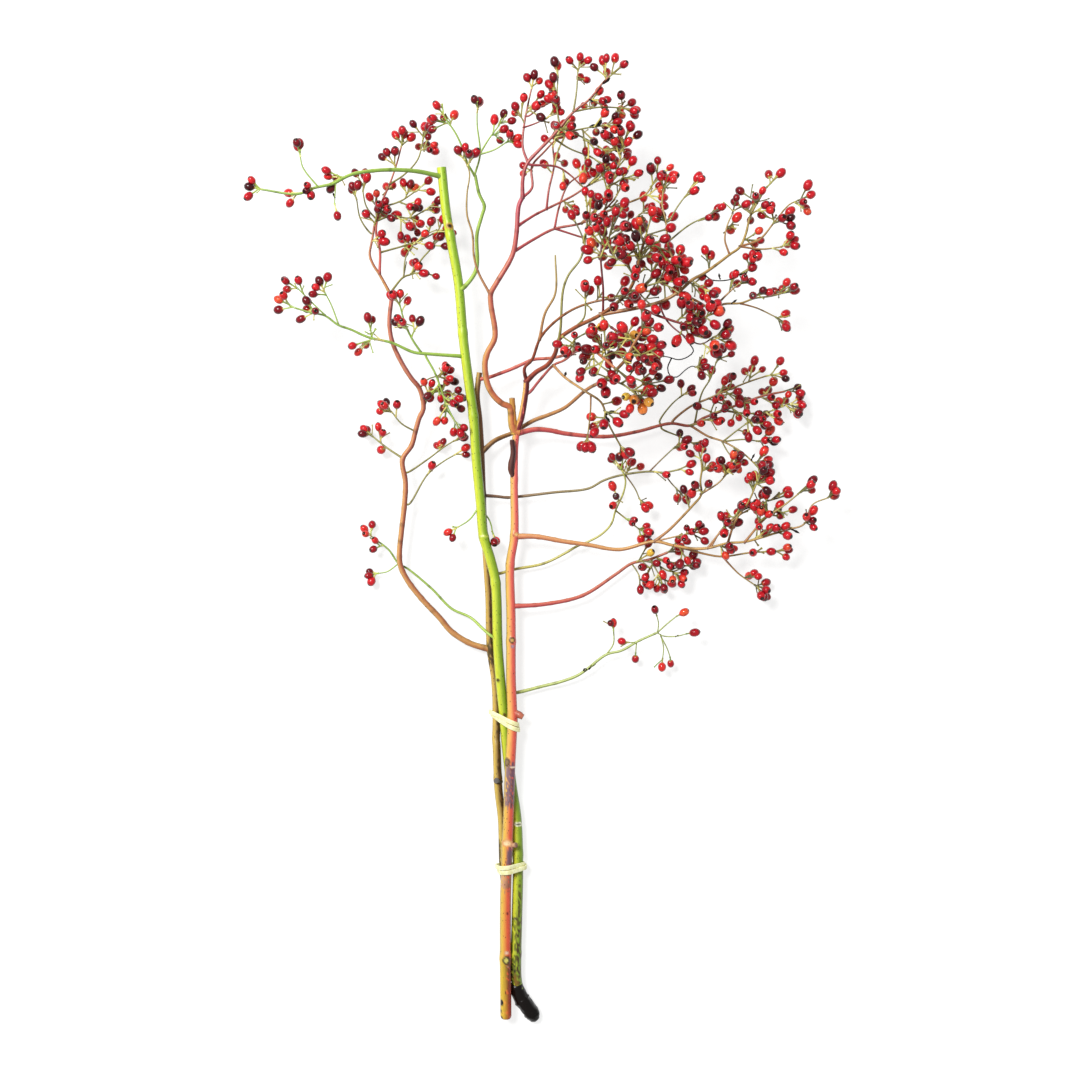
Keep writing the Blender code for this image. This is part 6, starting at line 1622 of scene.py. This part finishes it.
class RubberBand:
    """A flat rubber band wound twice round the canes and closed on itself."""

    WIDTH = 3.5             # (mm)
    THICKNESS = 1.1         # (mm)
    STEPS = 72              # sections along one turn
    CORNER = 0.38           # radius of the section's corners (mm)

    def __init__(self, band: Band, material: Material) -> None:
        """Take the band's place and its rubber."""
        self.band = band
        self.material = material

    def girdle(self) -> np.ndarray:
        """Give the closed line that hugs the three stems, in the x-z plane (mm)."""
        around = []
        for limbs in CANES.values():
            points = np.array(limbs[0].route)
            order = np.argsort(points[:, 1])
            shares = route_shares(limbs[0].route)[order]
            points = points[order]
            for off in (-7.0, 0.0, 7.0):
                y = self.band.y + off
                x = float(np.interp(y, points[:, 1], points[:, 0]))
                z = float(np.interp(y, points[:, 1], points[:, 2]))
                share = float(np.interp(y, points[:, 1], shares))
                reach = girth_at(limbs[0], share) + CLEARANCE
                for step in range(32):
                    angle = math.tau * step / 32
                    around.append((x + reach * math.cos(angle), z + reach * math.sin(angle)))
        line = np.array(hull_round(around))
        return np.roll(line, -int(np.argmax(line[:, 1])), axis=0)

    def stations(self) -> Iterator[tuple[Vector, Vector]]:
        """Walk both turns of the band.

        Yields:
            Each section's centre and its outward direction.
        """
        line = self.girdle()
        closed = np.vstack((line, line[:1]))
        shares = route_shares(closed)

        def on_line(share: float) -> np.ndarray:
            """Give a point of the girdle."""
            share = share % 1.0
            return np.array([np.interp(share, shares, closed[:, i]) for i in range(2)])

        band = self.band
        for step in range(2 * self.STEPS):
            share = step / self.STEPS
            place = on_line(share)
            run = on_line(share + 0.03) - on_line(share - 0.03)
            outward = Vector((run[1], 0.0, -run[0])).normalized()
            half = math.pi * share
            raised = self.THICKNESS / 2 + band.lift * (0.5 + 0.5 * math.sin(half)) ** 2
            y = band.y + band.slant * (place[0] - band.middle) + band.part * math.cos(half)
            yield Vector((place[0], y, place[1])) + outward * raised, outward

    def section(self) -> list[tuple[float, float]]:
        """Give the band's flat section with rounded corners (mm)."""
        points = []
        for corner in range(4):
            centre_a = (self.WIDTH / 2 - self.CORNER) * (1 if corner in (0, 3) else -1)
            centre_b = (self.THICKNESS / 2 - self.CORNER) * (1 if corner in (0, 1) else -1)
            for part in range(3):
                angle = math.radians(90.0 * corner + 45.0 * part)
                points.append((centre_a + self.CORNER * math.cos(angle),
                               centre_b + self.CORNER * math.sin(angle)))
        return points

    def build(self) -> None:
        """Loft the section along both turns, and put the band on the frame."""
        section = self.section()
        shape = bmesh.new()
        rings = []
        stations = list(self.stations())
        for index, (place, outward) in enumerate(stations):
            ahead = stations[(index + 1) % len(stations)][0] - stations[index - 1][0]
            across = ahead.normalized().cross(outward).normalized()
            rings.append([shape.verts.new((place + across * a + outward * b) * MM)
                          for a, b in section])
        for index, ring in enumerate(rings):
            following = rings[(index + 1) % len(rings)]
            for side in range(len(section)):
                other = (side + 1) % len(section)
                shape.faces.new((ring[side], ring[other], following[other], following[side]))
        bmesh.ops.recalc_face_normals(shape, faces=shape.faces)
        name = f"{self.band.name}_rubber"
        mesh = bpy.data.meshes.new(name)
        shape.to_mesh(mesh)
        shape.free()
        mesh.materials.append(self.material)
        piece = put(name, mesh)
        soften(piece)
        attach(piece, "root")
        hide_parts(self.band.name)
        LOG.info("%s: %d faces", piece.name, len(mesh.polygons))


def hull_round(points: Sequence[tuple[float, float]]) -> list[tuple[float, float]]:
    """Find the convex hull of flat points, anticlockwise (Andrew's monotone chain)."""
    ordered = sorted(points)
    chains = []
    for run in (ordered, ordered[::-1]):
        chain: list[tuple[float, float]] = []
        for c in run:
            while len(chain) > 1 and turns_right(chain[-2], chain[-1], c):
                chain.pop()
            chain.append(c)
        chains.append(chain[:-1])
    return chains[0] + chains[1]


def turns_right(a: tuple[float, float], b: tuple[float, float], c: tuple[float, float]) -> bool:
    """Tell whether the path a, b, c doesn't turn left at b."""
    return (b[0] - a[0]) * (c[1] - a[1]) - (b[1] - a[1]) * (c[0] - a[0]) <= 0.0


@dataclass(frozen=True)
class Wisp:
    """A scrap of dried leaf or flower that clings to a twig."""

    THICKNESS = 0.2     # (mm)
    RIPPLE = 0.4        # height of its waves (mm)
    TILT = (0.5, 0.25)  # about X and Y (radians)

    limb: str
    share: float        # place along the limb
    length: float       # (mm)
    width: float
    turn: float         # in plan (degrees)
    curl: float         # how much it rolls up (mm)

    def build(self) -> Thing:
        """Cut, curl and thicken the scrap.

        Returns:
            Its object, with its place in its mesh.
        """
        deselect()
        bpy.ops.mesh.primitive_grid_add(x_subdivisions=8, y_subdivisions=3, size=2.0,
                                        location=(0, 0, 0))
        thing = bpy.context.view_layer.objects.active
        for vert in thing.data.vertices:
            u, v = vert.co.x, vert.co.y
            taper = math.sqrt(max(0.02, 1.0 - u * u))
            rise = self.curl * (v * v + 0.9 * u * u) - self.RIPPLE * math.sin(5.0 * u) * v
            vert.co = ((0.9 + u) * self.length / 2 * MM, (v * taper * self.width / 2) * MM,
                       rise * MM)
        thick = thing.modifiers.new("thickness", "SOLIDIFY")
        thick.thickness = self.THICKNESS * MM
        bpy.ops.object.modifier_apply(modifier=thick.name)
        limb = next(limb for limbs in (*CANES.values(), *TWIGS.values()) for limb in limbs
                    if limb.name == self.limb)
        place, _ = along(limb, self.share)
        place.z += girth_at(limb, self.share)
        thing.location = place * MM
        thing.rotation_euler = (*self.TILT, math.radians(self.turn))
        settle(thing)
        return thing


class Studio:
    """The plain floor, the soft light and the camera that looks straight down."""

    AIM = Vector((-6.8, 11.5, 20.0))    # the point under the camera (mm)
    HEIGHT = 1250.0                     # of the camera over the floor (mm)
    FIELD = 864.0                       # width that the camera sees at the aimed height (mm)
    SENSOR = 36.0                       # (mm)
    FLOOR_SIZE = 8.0                    # (m)
    FLOOR_DROP = 0.0002                 # how far it lies under the bundle (m)
    LAMP = Vector((-0.75, 0.75, 1.9))   # where the key light hangs (m)
    LAMP_SIZE = 0.7                     # (m)
    LAMP_POWER = 46.0                   # (W)
    SURROUND = 0.42                     # strength of the white surround

    def build(self) -> None:
        """Lay the floor, hang the lights and set the camera."""
        self.floor()
        self.lights()
        self.camera()

    def floor(self) -> None:
        """Lay a large pale floor just under the bundle."""
        deselect()
        bpy.ops.mesh.primitive_plane_add(size=self.FLOOR_SIZE, location=(0, 0, -self.FLOOR_DROP))
        floor = bpy.context.view_layer.objects.active
        floor.name = "floor"
        paper = Plain("matt_white_paper", "#A0A09F", "#9D9D9C", 9.0, 0.9, 0.74)
        floor.data.materials.append(paper.dress())

    def lights(self) -> None:
        """Hang one broad key light and fill the rest with a white surround."""
        deselect()
        bpy.ops.object.light_add(type="AREA", location=self.LAMP)
        key = bpy.context.view_layer.objects.active
        key.name = "key_light"
        key.data.shape = "DISK"
        key.data.size = self.LAMP_SIZE
        key.data.energy = self.LAMP_POWER
        key.rotation_euler = (-self.LAMP).to_track_quat("-Z", "Y").to_euler()
        world = bpy.data.worlds.new("white_surround")
        world.use_nodes = True
        background = world.node_tree.nodes["Background"]
        background.inputs["Color"].default_value = WHITE
        background.inputs["Strength"].default_value = self.SURROUND
        bpy.context.scene.world = world

    def camera(self) -> None:
        """Set the camera over the bundle, with +Y up in the picture."""
        place = Vector((self.AIM.x, self.AIM.y, self.HEIGHT)) * MM
        bpy.ops.object.camera_add(location=place, rotation=(0.0, 0.0, 0.0))
        camera = bpy.context.view_layer.objects.active
        camera.data.sensor_width = self.SENSOR
        camera.data.lens = self.SENSOR * (self.HEIGHT - self.AIM.z) / self.FIELD
        camera.data.clip_start = 0.01
        bpy.context.scene.camera = camera
        bpy.context.scene.view_settings.view_transform = "Standard"


RED_CANE = Cane(
    "red_cane", "red_bark", Bark("red_rose_bark", 0.16, "#5A1C14", 0.42, 0.2),
    {
        "main_cane": Tone.CORAL_STEM, "*": Tone.CORAL_TO_TAN, "dark_*": Tone.BROWN,
        "dark_riser": Tone.DARK_RED,
        "heart_*": Tone.KHAKI, "snag_limb": Tone.ROSY, "yellow_snag": Tone.YELLOW,
        "top_*": Tone.PINK, "upper_fork*": Tone.PINK, "middle_fork*": Tone.PINK,
        "crown_*": Tone.KHAKI, "right_*": Tone.TAN, "shoulder_*": Tone.KHAKI,
        "tan_twig": Tone.TAN, "bare_twig": Tone.TAN, "pale_twig": Tone.KHAKI,
        "front_*": Tone.TAN, "near_*": Tone.DARK_RED, "curl*": Tone.BLACK,
        "coral_limb": Tone.CORAL, "coral_*": Tone.KHAKI, "coral_limb_*": Tone.TAN,
        "lower_*": Tone.TAN, "lower_limb": Tone.APRICOT, "foot_limb": Tone.CORAL,
        "foot_limb_side": Tone.KHAKI, "dry_stub": Tone.DEAD_WOOD, "foot_bud": Tone.CORAL,
        "cut_twig": Tone.SPECKLED,
        "up_side_*": Tone.KHAKI, "pink_twig": Tone.PINK, "fan_*": Tone.STRAW,
        "inner_group": Tone.KHAKI, "up_link": Tone.KHAKI, "dry_twig": Tone.BLACK,
        "foot_fan*": Tone.KHAKI, "plump_spur": Tone.KHAKI,
    },
    Tone.KHAKI,
    joints=(Joint(-325, 0.5, 4), Joint(-236, 0.45, 4.5), Joint(-132, 0.4, 4),
            Joint(-70, 0.35, 3), Joint(-8, 0.3, 2.5), Joint(14.5, 0.35, 3),
            Joint(60, 0.25, 3)),
    stains=(Stain(-203, -166, Tone.GREY_BARK, 0.56, 0.5),
            Stain(-202, -168, Tone.DARK_RED, 0.56, 0.4, 0.72),
            Stain(-200, -170, Tone.SPECKLED, 0.5, 0.4, 0.8),
            Stain(-262, -246, Tone.DARK_RED, 0.6, 0.4, 0.7),
            Stain(-251, -234, Tone.GREY_BARK, 0.78, 0.34),
            Stain(-270, -255, Tone.SPECKLED, 0.6, 0.6),
            Stain(-385, -322, Tone.FOOT_BARK, 0.5, 1.2),
            # Painted shade: from 96 to 145 mm the right flank is darkened to dark red.
            Stain(96, 145, Tone.DARK_RED, 0.8, 0.5)),
    scars=(
        Scar(-325.5, 8, 7, 7.6, "#16090A", "#D2C862", 0.35, 1.15),
        Scar(-319.6, 14, 4, 2.4, "#D8A888", "#E8C0A8", 0.1),
        Scar(-330.6, 25, 3.4, 1.8, "#7A4A30", "#B88A6A", 0.1),
        Scar(-360, -52, 4.2, 5.4, "#120604", "#060202", -0.2),
        Scar(-366.5, -58, 2.2, 2.6, "#2A0E06", "#120604"),
        Scar(-372, -50, 2, 3, "#2A0E06", "#120604"),
        Scar(-351.5, 0, 1.4, 1.6, "#5A160C", "#3A0C08"),
        Scar(-287.8, 22, 2, 2.4, "#8A2418", "#6A140E"),
        Scar(-231, -5, 10, 6, "#D89858", "#F4D2A0", 0.4),
        Scar(-233.4, 58, 4.4, 4.4, "#D8A890", "#2A1410", 0.7),
        Scar(-166, -42, 6, 7, "#4E382A", "#8A6E4C", 0.45),
        Scar(-170, 40, 6, 1.4, "#E8C8A8", "#F0D8C0", 0.2),
        Scar(-68.5, 12, 5, 4.8, "#1E1008", "#D0A458", 0.4),
        Scar(-73.5, 20, 3.2, 3, "#9A7480", "#B890A0"),
        Scar(16, 30, 6.5, 4, "#C8683E", "#F0C07C", 0.3),
    ),
)

GREEN_CANE = Cane(
    "green_cane", "green_bark", Bark("green_rose_bark", 0.2, "#4A3A10", 0.4, 0.25),
    {"main_cane": Tone.GREEN_STEM, "heel": Tone.BLACK, "*": Tone.LIME, "under_twig*": Tone.STRAW,
     "lowest_twig*": Tone.PALE_GREEN},
    Tone.LIME,
    joints=(Joint(-322, 0.3, 3), Joint(-242, 0.35, 3.5), Joint(-23, 0.35, 3),
            Joint(14, 0.4, 3), Joint(110, 0.35, 3), Joint(175, 0.35, 3),
            Joint(250, 0.35, 3)),
    stains=(Stain(-400, -350, Tone.BLACK, 0.5, 1.4),
            Stain(-352, -327, Tone.BLACK, 0.2, 0.34),
            Stain(-346, -292, Tone.MOSSY, 0.5, 0.6, 0.42),
            Stain(-350, -262, Tone.DARK_STREAK, 0.66, 0.16, 0.3),
            Stain(-300, -246, Tone.MOSSY, 0.85, 0.3, 0.5),
            Stain(-318, -288, Tone.DARK_STREAK, 0.42, 0.05),
            Stain(-349, -338, Tone.AMBER, 0.5, 0.28)),
    scars=(
        Scar(-293.2, -20, 6, 1.5, "#4A4010", "#F0F4B0", 0.2),
        Scar(-217.4, 20, 7, 3.4, "#F0F0D0", "#1E2810", 0.5),
        Scar(-129, 10, 3.2, 3, "#6A5A10", "#4A3A08"),
        Scar(-101, -30, 3.4, 2.8, "#5A4A10", "#3A2A08", 0.2),
        Scar(257.5, 20, 6.6, 5.6, "#C8A040", "#5A3A14", 0.5),
        Scar(257.5, 20, 2, 2, "#1A0E06", "#0A0402"),
        Scar(14.5, 0, 9, 1.6, "#B8C848", "#EEF6A0", 0.25),
        Scar(308.6, 0, 14, 3.4, "#7A4A24", "#D8C890", 0.2),
    ),
)

OLIVE_CANE = Cane(
    "olive_cane", "olive_bark", Bark("olive_rose_bark", 0.2, "#3A2410", 0.5, 0.1),
    {
        "main_cane": Tone.OLIVE_STEM, "*": Tone.KHAKI, "left_limb*": Tone.OCHRE,
        "crossing_limb": Tone.BUFF, "upper_crossing": Tone.CORAL, "thin_crossing*": Tone.DRIFT,
        "star": Tone.STRAW,
        "crown_leader": Tone.CORAL, "bark_knot": Tone.KNOT,
    },
    Tone.KHAKI,
    joints=(Joint(-181, 0.4, 3), Joint(-76, 0.4, 3), Joint(48, 0.3, 3)),
    stains=(Stain(-320, -230, Tone.DARK_STREAK, 0.1, 0.2),
            Stain(-250, 60, Tone.DARK_STREAK, 0.75, 0.3, 0.62),
            Stain(-176, -120, Tone.DARK_STREAK, 0.78, 0.1),
            Stain(-90, -70, Tone.DARK_STREAK, 0.35, 0.5)),
)

WISPS = (
    Wisp("top_limb", 0.93, 8, 2.6, 40, 1),
    Wisp("crown_low", 0.9, 8, 3.4, 190, 1.2),
    Wisp("crown_low", 0.85, 6, 3, 60, 1.2),
    Wisp("front_twig", 0.70, 8, 2.5, 20, 1.4),
    Wisp("front_twig", 0.72, 6, 2, -50, 1.2),
    Wisp("lower_far_tip", 0.35, 8, 1.6, -25, 0.6),
    Wisp("top_limb", 0.80, 4, 1.4, -30, 0.5),
    Wisp("right_shoulder", 0.97, 4.5, 2.6, 80, 0.5),
    Wisp("right_low_fork", 0.52, 6, 1.3, 35, 0.4),
    Wisp("dry_twig", 0.45, 5, 1.6, 100, 0.6),
    Wisp("dry_twig", 0.92, 5.5, 1.8, 15, 0.7),
    Wisp("coral_limb_down", 0.9, 6.5, 1.5, 60, 0.5),
    Wisp("lowest_twig_side", 0.6, 3.5, 1.2, 20, 0.4),
    Wisp("lowest_twig", 0.54, 9, 2, 40, 1),
    Wisp("lowest_twig", 0.53, 3, 2.6, 200, 0.8),
    Wisp("foot_limb_side", 0.2, 4.5, 2.4, 50, 0.5),
    Wisp("top_reach_drop", 0.7, 5, 1.4, 110, 0.4),
    Wisp("front_twig", 0.2, 4, 2, 70, 0.4),
)


def main() -> None:
    """Dress the frame, piece by piece."""
    logging.basicConfig(level=logging.INFO, format="%(name)s: %(message)s")
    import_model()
    crown = Crown()
    crown.grow()
    skin = HipSkin("rose_hip_skin").dress()
    models = [HipModel("oval_hip", 0.97, 1.0), HipModel("pear_hip", 0.86, 1.03),
              HipModel("round_hip", 1.04, 0.98)]
    for cane in (RED_CANE, GREEN_CANE, OLIVE_CANE):
        cane.build(crown, models, skin)
    for model in models:
        bpy.data.objects.remove(model.thing)
    latex = Latex("cream_latex", "#F6F6C6", "#E6E3A6").dress()
    for band in BANDS:
        RubberBand(band, latex).build()
    leaf = Plain("dried_leaf", "#2A201A", "#100C0A", 1.5, 0.85).dress()
    wisps = join([wisp.build() for wisp in WISPS], "dried_leaf_wisps")
    wisps.data.materials.append(leaf)
    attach(wisps, "root")
    Studio().build()


if __name__ == "__main__":
    main()
